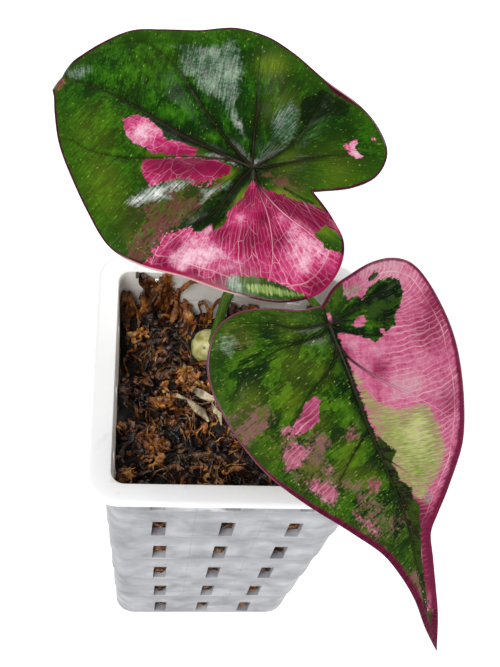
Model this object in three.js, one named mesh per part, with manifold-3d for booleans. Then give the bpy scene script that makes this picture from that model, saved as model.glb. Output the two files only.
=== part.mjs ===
import * as THREE from 'three';
import { mergeVertices } from 'three/addons/utils/BufferGeometryUtils.js';
import Module from 'manifold-3d';

// A young Alocasia with two marbled leaves in a deep square slotted pot.
// Millimetres, +Z up, origin at the centre of the pot's base, +Y away from the front leaf's tip.

const wasm = await Module();
wasm.setup();

// Clearance between pieces that touch.
const SEAT_GAP = 0.3;

// The pot: a tapered square moulding with a flat rim.
const POT_HEIGHT = 150;
const RIM_HALF_WIDTH = 45;
const RIM_CORNER_RADIUS = 9;
const RIM_LIP_DEPTH = 3;
const MOUTH_HALF_WIDTH = 38.1;
const MOUTH_CORNER_RADIUS = 4;
const BASE_HALF_WIDTH = 34.9;
const BASE_EDGE_RADIUS = 3;
const NECK_HALF_WIDTH = 40.5;
const WALL_CORNER_RADIUS = 7;
const WALL_THICKNESS = 2.3;
const FLOOR_THICKNESS = 2.5;

// The wall's lapped tiers, each standing a little proud of the one below it.
const TIER_COUNT = 6;
const TIER_HEIGHT = 25.5;
const LOWEST_TIER_Z = 5.5;
const TIER_STEP = 0.55;

// Slots: one in each tier of each column, three columns a side.
const SLOT_WIDTH = 4.6;
const SLOT_HEIGHT = 13;
const SLOT_SILL = 1.6;
const TOP_COLUMN_OFFSET = 23.6;
const BOTTOM_COLUMN_OFFSET = 17.4;

// Drainage holes in the floor, left out at its centre.
const DRAIN_RADIUS = 3.5;
const DRAIN_SPACING = 19;

// The growing mix.
const MIX_LEVEL = 126.5;
const MIX_TOP_RINGS = 9;
const MIX_SIDE_STEPS = 8;
const STRAND_COUNT = 42;
const STRAND_SIDES = 3;
const STRAND_STEPS = 4;
const STRAND_REACH = 34.5;
const STRAND_CORM_CLEARANCE = 9.5;
const BARK_COUNT = 13;
const BARK_SIZE = [9, 6, 2.6];
const BARK_CORM_CLEARANCE = 13;
const BARK_TILT = 0.45;
const SUNK_DEPTH = 2.5;

// The corm, half sunk in the mix.
const CORM_CENTRE = [-6.6, 23.8, 125.5];
const CORM_RADII = [6, 6.8, 7];

// Leaf stalks.
const PETIOLE_BASE_RADIUS = 1.65;
const PETIOLE_TOP_RADIUS = 1.2;
const PETIOLE_RIB_RADIUS = 0.75;
const PETIOLE_SIDES = 8;
const PETIOLE_STEPS = 26;
const RIB_SHARE = 0.12;

// Blades.
const BLADE_THICKNESS = 0.8;
const RIBS_A_SIDE = 38;
const RIB_STEPS = 5;
const WAVE_HEIGHT = 0.5;
const WAVE_TURN_A_RIB = 0.9;

// Each leaf is drawn on its own sheet: a runs from the stalk's joint to the tip and b across it, in
// millimetres. Margins run from the sinus between the lobes round to the tip.
const leafBack = {
  joint: [-1.44, 32.02, 215],
  toTip: [-0.825, 0.556, -0.098],
  up: [-0.263, -0.225, 0.938],
  sinus: [-19.7, -0.3],
  tip: [95, 0],
  midrib: [[0, 0], [20, 0.8], [40, -0.6], [60, -1.8], [72, -0.6], [95, 0]],
  rightMargin: [
    [-27.4, 3.4], [-34, 8], [-36.5, 15], [-35, 24], [-28, 31], [-15, 35.5], [0, 38], [13, 40.6],
    [24, 40.2], [36.6, 33.5], [48.9, 25.4], [57.3, 18.8], [64.7, 10.8], [69.2, 5.4], [72.5, 3.2],
    [80, 2.4], [88, 1.3],
  ],
  leftMargin: [
    [-28, -6.5], [-32.4, -14], [-31.5, -21.5], [-26, -26.5], [-16.2, -30.7], [-4.1, -33.7], [8.8, -37.2],
    [19, -39.1], [28.3, -37.8], [38, -31.5], [49.8, -27.6], [58.9, -23.4], [65.7, -15.6], [70.3, -7.5],
    [72.5, -3.8], [80, -2.6], [88, -1.2],
  ],
  firstRib: 15,
  // The hanging tip: where its fold starts, the fold's radius and how far it turns.
  fold: { start: 69, radius: 2.5, angle: 90 * Math.PI / 180 },
  height: (a, b) =>
    -2.5 * Math.exp(-(a * a + b * b) / 81)
    - 0.0018 * b * b
    - 0.0025 * Math.max(a - 20, 0) ** 2
    - 0.006 * Math.max(-a - 10, 0) ** 2,
};

const leafFront = {
  joint: [24.76, -1.85, 185],
  toTip: [0.366, -0.705, -0.608],
  up: [0.28, -0.54, 0.794],
  sinus: [-5.9, -0.4],
  tip: [112, 1.2],
  midrib: [[0, 0], [12, -0.8], [30, -0.8], [50, 0.7], [70, 1.5], [100, 1.6], [112, 1.2]],
  rightMargin: [
    [-9.7, 5], [-11.2, 12], [-12, 20], [-10.6, 28], [-7, 33.3], [2, 37.6], [12.5, 39.5], [26.7, 37.8],
    [39, 35.2], [47.7, 31], [55.7, 24.9], [62.5, 18.5], [67.7, 12.9], [72, 9], [80, 7.4], [90, 5.8],
    [98, 4.6], [105, 3],
  ],
  leftMargin: [
    [-7.3, -7.7], [-10.9, -15.8], [-13.1, -25.7], [-10.7, -33.1], [-1.1, -39.7], [13.9, -40.1],
    [31, -35.4], [44, -28], [60.8, -15.7], [71.3, -8.6], [80, -5.1], [90.6, -2.3], [102, -1],
  ],
  firstRib: 12,
  fold: { start: 112, radius: 1, angle: 0 },
  height: (a, b) =>
    4.13
    - 4.14 * ((a - 50) / 50) ** 2
    - 0.0024 * b * b
    - 2 * Math.exp(-((a - 2) ** 2 + b * b) / 60),
};

// Stalk centre lines from the corm to just short of the blade, which each then follows underneath.
const BACK_STALK = [
  [-4.4, 26.8, 127], [-3.4, 27, 145], [-1.7, 27, 170], [0.3, 29, 195], [0.9, 32.6, 206],
];
const FRONT_STALK = [
  [-5.4, 22.4, 127], [-4.3, 22.8, 145], [-2, 21.8, 166], [3.6, 18.2, 185], [9.8, 12.4, 192.2],
  [15.6, 7.2, 189.6],
];

// A repeatable draw between 0 and 1.
function seededRandom(seed) {
  let state = seed;
  return () => {
    state = (state + 0x6d2b79f5) | 0;
    let t = Math.imul(state ^ (state >>> 15), 1 | state);
    t = (t + Math.imul(t ^ (t >>> 7), 61 | t)) ^ t;
    return ((t ^ (t >>> 14)) >>> 0) / 4294967296;
  };
}

function vector([x, y, z]) {
  return new THREE.Vector3(x, y, z);
}

function solidOf(geometry) {
  const bare = geometry.clone();
  bare.deleteAttribute('normal');
  bare.deleteAttribute('uv');
  const merged = mergeVertices(bare, 1e-4);
  // Triangles that merging has closed up to a line are dropped.
  const index = merged.index.array;
  const kept = [];
  for (let i = 0; i < index.length; i += 3) {
    const [p, q, r] = index.slice(i, i + 3);
    if (p !== q && q !== r && r !== p) {
      kept.push(p, q, r);
    }
  }
  return new wasm.Manifold(new wasm.Mesh({
    numProp: 3,
    vertProperties: new Float32Array(merged.attributes.position.array),
    triVerts: new Uint32Array(kept),
  }));
}

function geometryOf(solid) {
  const mesh = solid.getMesh();
  const geometry = new THREE.BufferGeometry();
  geometry.setAttribute('position', new THREE.BufferAttribute(new Float32Array(mesh.vertProperties), 3));
  geometry.setIndex(new THREE.BufferAttribute(new Uint32Array(mesh.triVerts), 1));
  geometry.computeVertexNormals();
  return geometry;
}

// A closed geometry through rings of equal count, each anticlockwise about the way the loft runs.
function loft(rings) {
  const count = rings[0].length;
  const positions = [];
  const index = [];
  for (const ring of rings) {
    for (const point of ring) {
      positions.push(point.x, point.y, point.z);
    }
  }
  for (let i = 0; i + 1 < rings.length; i += 1) {
    for (let j = 0; j < count; j += 1) {
      const next = (j + 1) % count;
      const low = i * count;
      const high = low + count;
      index.push(low + j, low + next, high + next, low + j, high + next, high + j);
    }
  }
  const last = (rings.length - 1) * count;
  for (let j = 1; j + 1 < count; j += 1) {
    index.push(0, j + 1, j);
    index.push(last, last + j, last + j + 1);
  }
  const geometry = new THREE.BufferGeometry();
  geometry.setAttribute('position', new THREE.Float32BufferAttribute(positions, 3));
  geometry.setIndex(index);
  geometry.computeVertexNormals();
  return geometry;
}

// A square ring with round corners, anticlockwise, with extra points along its sides.
function squareRing(half, radius, z, cornerSteps = 4, sideSteps = 1) {
  const ring = [];
  for (let corner = 0; corner < 4; corner += 1) {
    const centre = (half - radius) * Math.SQRT2;
    const turn = Math.PI / 4 + corner * Math.PI / 2;
    for (let i = 0; i <= cornerSteps; i += 1) {
      const angle = turn - Math.PI / 4 + i / cornerSteps * Math.PI / 2;
      ring.push(new THREE.Vector3(
        centre * Math.cos(turn) + radius * Math.cos(angle),
        centre * Math.sin(turn) + radius * Math.sin(angle),
        z,
      ));
    }
    const sideStart = ring[ring.length - 1];
    const cornerStart = ring[ring.length - 1 - cornerSteps];
    const sideEnd = new THREE.Vector3(-cornerStart.y, cornerStart.x, z);
    for (let i = 1; i < sideSteps; i += 1) {
      ring.push(new THREE.Vector3().lerpVectors(sideStart, sideEnd, i / sideSteps));
    }
  }
  return ring;
}

// A round rod along a smooth curve, its radius given by how far along it is.
function rod(points, radiusAt, sides, steps) {
  const curve = new THREE.CatmullRomCurve3(points, false, 'centripetal');
  const frames = curve.computeFrenetFrames(steps);
  const rings = [];
  for (let i = 0; i <= steps; i += 1) {
    const centre = curve.getPointAt(i / steps);
    const radius = radiusAt(i / steps);
    const ring = [];
    for (let j = 0; j < sides; j += 1) {
      const angle = j / sides * 2 * Math.PI;
      ring.push(centre.clone()
        .addScaledVector(frames.normals[i], radius * Math.cos(angle))
        .addScaledVector(frames.binormals[i], radius * Math.sin(angle)));
    }
    rings.push(ring);
  }
  return loft(rings);
}

function outerHalfWidth(z) {
  const neckZ = POT_HEIGHT - RIM_LIP_DEPTH;
  return BASE_HALF_WIDTH + (NECK_HALF_WIDTH - BASE_HALF_WIDTH) * z / neckZ;
}

function innerHalfWidth(z) {
  return Math.min(outerHalfWidth(z) - WALL_THICKNESS, MOUTH_HALF_WIDTH);
}

function potSolid() {
  const rings = [];
  for (let i = 0; i <= 2; i += 1) {
    const angle = i / 2 * Math.PI / 2;
    const inset = BASE_EDGE_RADIUS * (1 - Math.sin(angle));
    const z = BASE_EDGE_RADIUS * (1 - Math.cos(angle));
    rings.push(squareRing(outerHalfWidth(z) - inset, WALL_CORNER_RADIUS - inset, z));
  }
  for (let tier = 0; tier < TIER_COUNT; tier += 1) {
    const lowZ = LOWEST_TIER_Z + tier * TIER_HEIGHT;
    const highZ = Math.min(lowZ + TIER_HEIGHT, POT_HEIGHT - RIM_LIP_DEPTH) - 0.1;
    rings.push(squareRing(outerHalfWidth(lowZ), WALL_CORNER_RADIUS, lowZ));
    rings.push(squareRing(outerHalfWidth(lowZ) + TIER_STEP, WALL_CORNER_RADIUS, lowZ + 0.3));
    rings.push(squareRing(outerHalfWidth(highZ), WALL_CORNER_RADIUS, highZ));
  }
  // The rim's lip: out along its underside and round to the flat top.
  const lipZ = POT_HEIGHT - RIM_LIP_DEPTH;
  const lipRadius = RIM_LIP_DEPTH / 2;
  rings.push(squareRing(RIM_HALF_WIDTH - lipRadius, RIM_CORNER_RADIUS - lipRadius, lipZ));
  for (let i = 1; i <= 4; i += 1) {
    const angle = i / 4 * Math.PI;
    const inset = lipRadius * (1 - Math.sin(angle));
    const z = lipZ + lipRadius * (1 - Math.cos(angle));
    rings.push(squareRing(RIM_HALF_WIDTH - inset, RIM_CORNER_RADIUS - inset, z));
  }
  let solid = solidOf(loft(rings));
  solid = solid.subtract(solidOf(loft([
    squareRing(innerHalfWidth(FLOOR_THICKNESS), MOUTH_CORNER_RADIUS, FLOOR_THICKNESS),
    squareRing(innerHalfWidth(lipZ), MOUTH_CORNER_RADIUS, lipZ),
    squareRing(MOUTH_HALF_WIDTH, MOUTH_CORNER_RADIUS, POT_HEIGHT + 1),
  ])));
  for (const cutter of [...slotCutters(), ...drainCutters()]) {
    solid = solid.subtract(solidOf(cutter));
  }
  return solid;
}

function slotCutters() {
  const cutters = [];
  for (let tier = 0; tier < TIER_COUNT; tier += 1) {
    const lowZ = LOWEST_TIER_Z + tier * TIER_HEIGHT + SLOT_SILL;
    const highZ = Math.min(lowZ + SLOT_HEIGHT, POT_HEIGHT - RIM_LIP_DEPTH - 0.6);
    const climb = tier / (TIER_COUNT - 1);
    const columnOffset = THREE.MathUtils.lerp(BOTTOM_COLUMN_OFFSET, TOP_COLUMN_OFFSET, climb);
    const reach = outerHalfWidth(lowZ) - WALL_THICKNESS / 2;
    for (let side = 0; side < 4; side += 1) {
      for (const column of [-1, 0, 1]) {
        const box = new THREE.BoxGeometry(SLOT_WIDTH, 3 * WALL_THICKNESS, highZ - lowZ);
        box.translate(column * columnOffset, -reach, (lowZ + highZ) / 2);
        box.rotateZ(side * Math.PI / 2);
        cutters.push(box);
      }
    }
  }
  return cutters;
}

function drainCutters() {
  const cutters = [];
  for (const column of [-1, 0, 1]) {
    for (const row of [-1, 0, 1]) {
      if (column !== 0 || row !== 0) {
        const hole = new THREE.CylinderGeometry(DRAIN_RADIUS, DRAIN_RADIUS, 3 * FLOOR_THICKNESS, 12);
        hole.rotateX(Math.PI / 2);
        hole.translate(column * DRAIN_SPACING, row * DRAIN_SPACING, FLOOR_THICKNESS / 2);
        cutters.push(hole);
      }
    }
  }
  return cutters;
}

// The mix's uneven top: tufts of moss, highest in the back left corner.
function mixHeight(x, y) {
  const tufts = 1.3 * Math.sin(0.33 * x + 0.11 * y + 1) + 1.1 * Math.sin(0.37 * y - 0.16 * x + 2.2)
    + 0.7 * Math.sin(0.71 * x + 0.52 * y) + 0.6 * Math.sin(0.83 * y - 0.64 * x + 4);
  const backTuft = 6 * Math.exp(-((x + 27) ** 2 + (y - 30) ** 2) / 130);
  const frontTuft = 2.5 * Math.exp(-((x + 16) ** 2 + (y + 28) ** 2) / 160);
  return MIX_LEVEL + tufts + backTuft + frontTuft;
}

function mixBody() {
  const floorZ = FLOOR_THICKNESS + SEAT_GAP;
  const wallClear = (z) => innerHalfWidth(z) - SEAT_GAP;
  const corner = MOUTH_CORNER_RADIUS - SEAT_GAP;
  const cornerSteps = 4;
  const rings = [squareRing(wallClear(floorZ), corner, floorZ, cornerSteps, MIX_SIDE_STEPS)];
  // The top is drawn as shrinking rings laid over the uneven surface.
  for (let i = 0; i < MIX_TOP_RINGS; i += 1) {
    const scale = 1 - i / MIX_TOP_RINGS;
    const ring = squareRing(wallClear(MIX_LEVEL) * scale, corner * scale, 0, cornerSteps, MIX_SIDE_STEPS);
    for (const point of ring) {
      point.z = mixHeight(point.x, point.y);
    }
    rings.push(ring);
  }
  return solidOf(loft(rings));
}

function cormDistance(x, y) {
  return Math.hypot(x - CORM_CENTRE[0], y - CORM_CENTRE[1]);
}

// Moss strands: arched fibres with both ends sunk in the mix.
function mossStrands(random) {
  const strands = [];
  while (strands.length < STRAND_COUNT) {
    const x = (2 * random() - 1) * STRAND_REACH;
    const y = (2 * random() - 1) * STRAND_REACH;
    const heading = random() * 2 * Math.PI;
    const length = 11 + 13 * random();
    const sideways = (random() - 0.5) * 9;
    const rise = 0.8 + 2.6 * random();
    const radius = 0.6 + 0.45 * random();
    const points = [];
    for (let i = 0; i <= 4; i += 1) {
      const t = i / 4;
      const along = (t - 0.5) * length;
      const across = sideways * Math.sin(Math.PI * t) + 1.5 * Math.sin(2 * Math.PI * t);
      const px = x + along * Math.cos(heading) - across * Math.sin(heading);
      const py = y + along * Math.sin(heading) + across * Math.cos(heading);
      const lift = rise * Math.sin(Math.PI * t) - SUNK_DEPTH * (2 * t - 1) ** 4;
      points.push(new THREE.Vector3(px, py, mixHeight(px, py) + lift));
    }
    const inPot = points.every((p) => Math.max(Math.abs(p.x), Math.abs(p.y)) < STRAND_REACH);
    const clearOfCorm = points.every((p) => cormDistance(p.x, p.y) > STRAND_CORM_CLEARANCE);
    if (inPot && clearOfCorm) {
      strands.push(rod(points, (t) => radius * (1 - 0.35 * t), STRAND_SIDES, STRAND_STEPS));
    }
  }
  return strands;
}

// Bark chips lying tilted in the surface.
function barkChips(random) {
  const chips = [];
  while (chips.length < BARK_COUNT) {
    const x = (2 * random() - 1) * (STRAND_REACH - 6);
    const y = (2 * random() - 1) * (STRAND_REACH - 6);
    if (cormDistance(x, y) > BARK_CORM_CLEARANCE) {
      const size = 0.7 + 0.5 * random();
      const chip = new THREE.BoxGeometry(...BARK_SIZE.map((side) => side * size));
      chip.rotateX((2 * random() - 1) * BARK_TILT);
      chip.rotateY((2 * random() - 1) * BARK_TILT);
      chip.rotateZ(random() * Math.PI);
      chip.translate(x, y, mixHeight(x, y) + 0.2);
      chips.push(chip);
    }
  }
  return chips;
}

function cormBody(clearance) {
  const body = new THREE.SphereGeometry(1, 14, 9);
  body.rotateX(Math.PI / 2);
  body.scale(...CORM_RADII.map((radius) => radius + clearance));
  body.translate(...CORM_CENTRE);
  return solidOf(body);
}

function mixSolid() {
  const random = seededRandom(11);
  let solid = mixBody();
  for (const piece of [...mossStrands(random), ...barkChips(random)]) {
    solid = solid.add(solidOf(piece));
  }
  return solid.subtract(cormBody(SEAT_GAP));
}

// Where the midrib lies across the blade, eased between its hand-set points.
function midribOffset(leaf, a) {
  const points = leaf.midrib;
  const upper = Math.max(1, points.findIndex((point) => point[0] >= Math.min(a, leaf.tip[0])));
  const [low, high] = [points[upper - 1], points[upper]];
  return THREE.MathUtils.lerp(low[1], high[1], THREE.MathUtils.smoothstep(a, low[0], high[0]));
}

// A point of the blade's middle surface, at a along it and b across it.
function surfacePoint(leaf, a, b) {
  const { start, radius, angle } = leaf.fold;
  const past = Math.max(a - start, 0);
  const turned = Math.min(past / radius, angle);
  const straight = Math.max(past - radius * angle, 0);
  const along = Math.min(a, start) + radius * Math.sin(turned) + straight * Math.cos(angle);
  const drop = radius * (1 - Math.cos(turned)) + straight * Math.sin(angle);
  const height = leaf.height(Math.min(a, start), b) - drop;
  const toTip = vector(leaf.toTip);
  const up = vector(leaf.up);
  const across = new THREE.Vector3().crossVectors(up, toTip);
  return vector(leaf.joint)
    .addScaledVector(toTip, along)
    .addScaledVector(across, b)
    .addScaledVector(up, height);
}

// The same point moved off the surface, square to it.
function offsetPoint(leaf, a, b, offset) {
  const step = 0.2;
  const alongStep = surfacePoint(leaf, a + step, b).sub(surfacePoint(leaf, a - step, b));
  const acrossStep = surfacePoint(leaf, a, b + step).sub(surfacePoint(leaf, a, b - step));
  const normal = alongStep.cross(acrossStep).normalize();
  return surfacePoint(leaf, a, b).addScaledVector(normal, offset);
}

// Ribs from the midrib out to one margin, each a row of points on the leaf's sheet.
function ribsTo(leaf, margin, otherMargin) {
  const curveOf = (points) => new THREE.CatmullRomCurve3(
    [leaf.sinus, ...points, leaf.tip].map(([a, b]) => new THREE.Vector3(a, b, 0)),
    false,
    'centripetal',
  );
  const edge = curveOf(margin).getSpacedPoints(RIBS_A_SIDE);
  const otherEdge = curveOf(otherMargin).getSpacedPoints(RIBS_A_SIDE);
  const length = leaf.tip[0];
  return edge.map((end, i) => {
    const meanA = (end.x + otherEdge[i].x) / 2;
    const rootA = Math.max(meanA - leaf.firstRib, 0) * length / (length - leaf.firstRib);
    const rootB = midribOffset(leaf, rootA);
    const waveHeight = i > 0 && meanA < length / 2 ? WAVE_HEIGHT : 0;
    const wave = waveHeight * Math.sin(i * WAVE_TURN_A_RIB);
    const rib = [];
    for (let j = 0; j <= RIB_STEPS; j += 1) {
      const t = j / RIB_STEPS;
      rib.push({
        a: THREE.MathUtils.lerp(rootA, end.x, t),
        b: THREE.MathUtils.lerp(rootB, end.y, t),
        lift: wave * t ** 4,
      });
    }
    return rib;
  });
}

// The blade: both faces are the same ribs, lifted half its thickness each way and split alike.
function bladeSolid(leaf) {
  const half = BLADE_THICKNESS / 2;
  const positions = [];
  const push = (side, ...points) => {
    for (const { a, b, lift } of points) {
      positions.push(...offsetPoint(leaf, a, b, lift + side * half).toArray());
    }
  };
  for (const hand of [1, -1]) {
    const margins = hand > 0 ? [leaf.rightMargin, leaf.leftMargin] : [leaf.leftMargin, leaf.rightMargin];
    const ribs = ribsTo(leaf, ...margins);
    for (let i = 0; i < RIBS_A_SIDE; i += 1) {
      for (let j = 0; j < RIB_STEPS; j += 1) {
        const [p, q, r, s] = [ribs[i][j], ribs[i + 1][j], ribs[i + 1][j + 1], ribs[i][j + 1]];
        for (const side of [1, -1]) {
          if (side * hand > 0) {
            push(side, p, q, r);
            push(side, p, r, s);
          } else {
            push(side, p, r, q);
            push(side, p, s, r);
          }
        }
      }
      const [from, to] = hand > 0 ? [ribs[i], ribs[i + 1]] : [ribs[i + 1], ribs[i]];
      const start = from[RIB_STEPS];
      const end = to[RIB_STEPS];
      push(1, start);
      push(1, end);
      push(-1, end);
      push(1, start);
      push(-1, end);
      push(-1, start);
    }
  }
  const geometry = new THREE.BufferGeometry();
  geometry.setAttribute('position', new THREE.Float32BufferAttribute(positions, 3));
  return solidOf(geometry);
}

// A stalk's centre line, ending along the underside of its blade as the midrib's thick root.
function stalkPoints(points, leaf, underside) {
  return [
    ...points.map(vector),
    ...underside.map(([a, depth]) => offsetPoint(leaf, a, midribOffset(leaf, Math.max(a, 0)), -depth)),
  ];
}

function petioleSolid(points, clearance) {
  const radiusAt = (t) => {
    const stalk = THREE.MathUtils.lerp(PETIOLE_BASE_RADIUS, PETIOLE_TOP_RADIUS, Math.sqrt(t));
    const toRib = THREE.MathUtils.smoothstep(t, 1 - RIB_SHARE, 1);
    return THREE.MathUtils.lerp(stalk, PETIOLE_RIB_RADIUS, toRib) + clearance;
  };
  return solidOf(rod(points, radiusAt, PETIOLE_SIDES, PETIOLE_STEPS));
}

const backStalk = stalkPoints(BACK_STALK, leafBack, [[-0.6, 3.2], [2.4, 1.7], [6, 1.55]]);
const frontStalk = stalkPoints(FRONT_STALK, leafFront, [[-3.4, 2.6], [1.5, 1.9], [7, 1.6]]);

// The corm, with a plain socket for each stalk.
function cormSolid() {
  return cormBody(0)
    .subtract(petioleSolid(backStalk, SEAT_GAP))
    .subtract(petioleSolid(frontStalk, SEAT_GAP));
}

const materials = {
  whitePlastic: new THREE.MeshStandardMaterial({ color: 0xf0f1f3, roughness: 0.38, metalness: 0 }),
  mossAndBark: new THREE.MeshStandardMaterial({ color: 0x6e4420, roughness: 0.95, metalness: 0 }),
  corm: new THREE.MeshStandardMaterial({ color: 0xc8bd84, roughness: 0.7, metalness: 0 }),
  petiole: new THREE.MeshStandardMaterial({ color: 0x4f6b2c, roughness: 0.45, metalness: 0 }),
  greenBlade: new THREE.MeshStandardMaterial({ color: 0x2f6a18, roughness: 0.3, metalness: 0 }),
  pinkBlade: new THREE.MeshStandardMaterial({ color: 0xb35a86, roughness: 0.32, metalness: 0 }),
};

function addPiece(group, name, solid, material) {
  const mesh = new THREE.Mesh(geometryOf(solid), material);
  mesh.name = name;
  group.add(mesh);
}

const plant = new THREE.Group();
addPiece(plant, 'pot', potSolid(), materials.whitePlastic);
addPiece(plant, 'growing_mix', mixSolid(), materials.mossAndBark);
addPiece(plant, 'corm', cormSolid(), materials.corm);
addPiece(plant, 'petiole_back', petioleSolid(backStalk, 0), materials.petiole);
addPiece(plant, 'petiole_front', petioleSolid(frontStalk, 0), materials.petiole);
addPiece(plant, 'leaf_back', bladeSolid(leafBack), materials.greenBlade);
addPiece(plant, 'leaf_front', bladeSolid(leafFront), materials.pinkBlade);

export default plant;
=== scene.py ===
import math
import random
from functools import partial

import bmesh
import bpy
import numpy as np
from mathutils import Matrix, Vector, noise


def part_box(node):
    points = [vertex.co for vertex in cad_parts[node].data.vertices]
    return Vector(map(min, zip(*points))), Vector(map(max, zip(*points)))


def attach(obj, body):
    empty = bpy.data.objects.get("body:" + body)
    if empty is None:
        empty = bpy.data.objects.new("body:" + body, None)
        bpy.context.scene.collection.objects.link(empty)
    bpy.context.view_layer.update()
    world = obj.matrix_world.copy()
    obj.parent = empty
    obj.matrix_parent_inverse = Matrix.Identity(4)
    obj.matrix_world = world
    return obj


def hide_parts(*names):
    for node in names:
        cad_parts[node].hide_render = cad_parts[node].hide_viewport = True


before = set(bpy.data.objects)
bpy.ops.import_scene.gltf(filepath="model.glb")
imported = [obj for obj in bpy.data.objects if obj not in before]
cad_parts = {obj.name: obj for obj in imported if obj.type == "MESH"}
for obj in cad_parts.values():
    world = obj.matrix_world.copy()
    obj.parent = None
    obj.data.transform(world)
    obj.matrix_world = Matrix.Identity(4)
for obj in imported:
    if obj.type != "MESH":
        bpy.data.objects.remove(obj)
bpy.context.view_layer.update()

# The pot is one injection moulding of white polypropylene: a deep tapered square with six lapped tiers,
# three columns of slots a side, a flat rim with a rolled lip, and round drainage holes in its floor.
MM = 0.001
POT_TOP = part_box("pot")[1].z / MM
RIM_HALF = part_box("pot")[1].x / MM
RIM_CORNER = 9
LIP_DEPTH = 3
MOUTH_HALF = 38.1
BASE_HALF = 34.9
NECK_HALF = 40.5
WALL_CORNER = 7
BASE_ROUND = 3
MOUTH_CORNER = 4
WALL = 2.3
FLOOR = 2.5
TIERS = 6
TIER_HEIGHT = 25.5
LOWEST_TIER = 5.5
TIER_STEP = 0.55
SLOT_WIDTH = 4.6
SLOT_HEIGHT = 13
SLOT_SILL = 1.6
TOP_COLUMN = 23.6
BOTTOM_COLUMN = 17.4
DRAIN_RADIUS = 3.5
DRAIN_SPACING = 19


def outer_half(z):
    """Half the width of the pot's outer wall at height z, in millimetres."""
    return BASE_HALF + (NECK_HALF - BASE_HALF) * z / (POT_TOP - LIP_DEPTH)


def inner_half(z):
    return min(outer_half(z) - WALL, MOUTH_HALF)


def pot_levels():
    """Height, half width and corner radius of each ring, up the outside, over the rim and down inside."""
    levels = []
    for angle in (0, 30, 60, 90):
        inset = BASE_ROUND * (1 - math.sin(math.radians(angle)))
        z = BASE_ROUND * (1 - math.cos(math.radians(angle)))
        levels.append((z, outer_half(z) - inset, WALL_CORNER - inset))
    for tier in range(TIERS):
        low = LOWEST_TIER + tier * TIER_HEIGHT
        for above, step in ((0, 0), (0.15, 0.75), (0.5, 1)):
            levels.append((low + above, outer_half(low) + step * TIER_STEP, WALL_CORNER))
        high = min(low + TIER_HEIGHT, POT_TOP - LIP_DEPTH) - 0.1
        levels.append((high, outer_half(high), WALL_CORNER))
    lip = LIP_DEPTH / 2
    for angle in range(0, 181, 20):
        inset = lip * (1 - math.sin(math.radians(angle)))
        z = POT_TOP - LIP_DEPTH + lip * (1 - math.cos(math.radians(angle)))
        levels.append((z, RIM_HALF - inset, RIM_CORNER - inset))
    for down, out in ((0, 0.8), (0.25, 0.25), (0.8, 0)):
        levels.append((POT_TOP - down, MOUTH_HALF + out, MOUTH_CORNER + out))
    for z in (POT_TOP - LIP_DEPTH, FLOOR):
        levels.append((z, inner_half(z), MOUTH_CORNER))
    return levels


def resize_ring(verts, old, new):
    """Moves a round-cornered square ring from its old to its new height, half width and corner radius."""
    for v in verts:
        for axis in (0, 1):
            size = abs(v.co[axis]) / MM
            flat = old[1] - old[2]
            if size > flat:
                size = (size - flat) * new[2] / old[2] + new[1] - new[2]
            else:
                size *= (new[1] - new[2]) / flat
            v.co[axis] = math.copysign(size * MM, v.co[axis])
        v.co.z = new[0] * MM


def new_object(name, data):
    """A new object of the scene, made of the data or of a bmesh, which it uses up."""
    if isinstance(data, bmesh.types.BMesh):
        source, data = data, bpy.data.meshes.new(name)
        source.to_mesh(data)
        source.free()
    made = bpy.data.objects.new(name, data)
    bpy.context.scene.collection.objects.link(made)
    return made


def slot_row(tier):
    """Sill height of a tier's slots, and how far its outer columns stand from the middle one."""
    return (LOWEST_TIER + tier * TIER_HEIGHT + SLOT_SILL,
            BOTTOM_COLUMN + (TOP_COLUMN - BOTTOM_COLUMN) * tier / (TIERS - 1))


levels = pot_levels()
_, base_half, base_corner = levels[0]
pot_mesh = bmesh.new()
bottom = bmesh.ops.create_grid(pot_mesh, x_segments=1, y_segments=1, size=base_half * MM)["verts"]
bmesh.ops.bevel(pot_mesh, geom=bottom, offset=base_corner * MM, segments=8, profile=0.5, material=-1,
                affect="VERTICES")
ring = list(pot_mesh.edges)
for old, new in zip([levels[0]] + levels[:-1], levels):
    if old is not new:
        made = bmesh.ops.extrude_edge_only(pot_mesh, edges=ring)["geom"]
        ring = [e for e in made if isinstance(e, bmesh.types.BMEdge)]
    resize_ring({v for e in ring for v in e.verts}, old, new)
bmesh.ops.edgeloop_fill(pot_mesh, edges=ring)
bmesh.ops.recalc_face_normals(pot_mesh, faces=pot_mesh.faces)
pot = new_object("slotted_pot", pot_mesh)

# The mould's cores: a block through the wall for each slot and a pin for each drainage hole.
cores = bmesh.new()
for tier in range(TIERS):
    low, column = slot_row(tier)
    high = min(low + SLOT_HEIGHT, POT_TOP - LIP_DEPTH - 0.6)
    for side in range(4):
        for across in (-column, 0, column):
            place = Matrix.Rotation(side * math.pi / 2, 4, "Z") @ Matrix.Translation(
                Vector((across, WALL / 2 - outer_half(low), (low + high) / 2)) * MM)
            size = Matrix.Diagonal((SLOT_WIDTH * MM, 3 * WALL * MM, (high - low) * MM, 1))
            bmesh.ops.create_cube(cores, size=1, matrix=place @ size)
for x in (-1, 0, 1):
    for y in (-1, 0, 1):
        if (x, y) != (0, 0):
            centre = Vector((x * DRAIN_SPACING, y * DRAIN_SPACING, FLOOR / 2)) * MM
            bmesh.ops.create_cone(cores, cap_ends=True, segments=32, radius1=DRAIN_RADIUS * MM,
                                  radius2=DRAIN_RADIUS * MM, depth=3 * FLOOR * MM,
                                  matrix=Matrix.Translation(centre))
core_object = new_object("mould_cores", cores)


def apply_modifiers(piece):
    """Makes what the modifiers give the piece's own mesh."""
    depsgraph = bpy.context.evaluated_depsgraph_get()
    final = bpy.data.meshes.new_from_object(piece.evaluated_get(depsgraph), depsgraph=depsgraph)
    piece.modifiers.clear()
    piece.data = final


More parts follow.
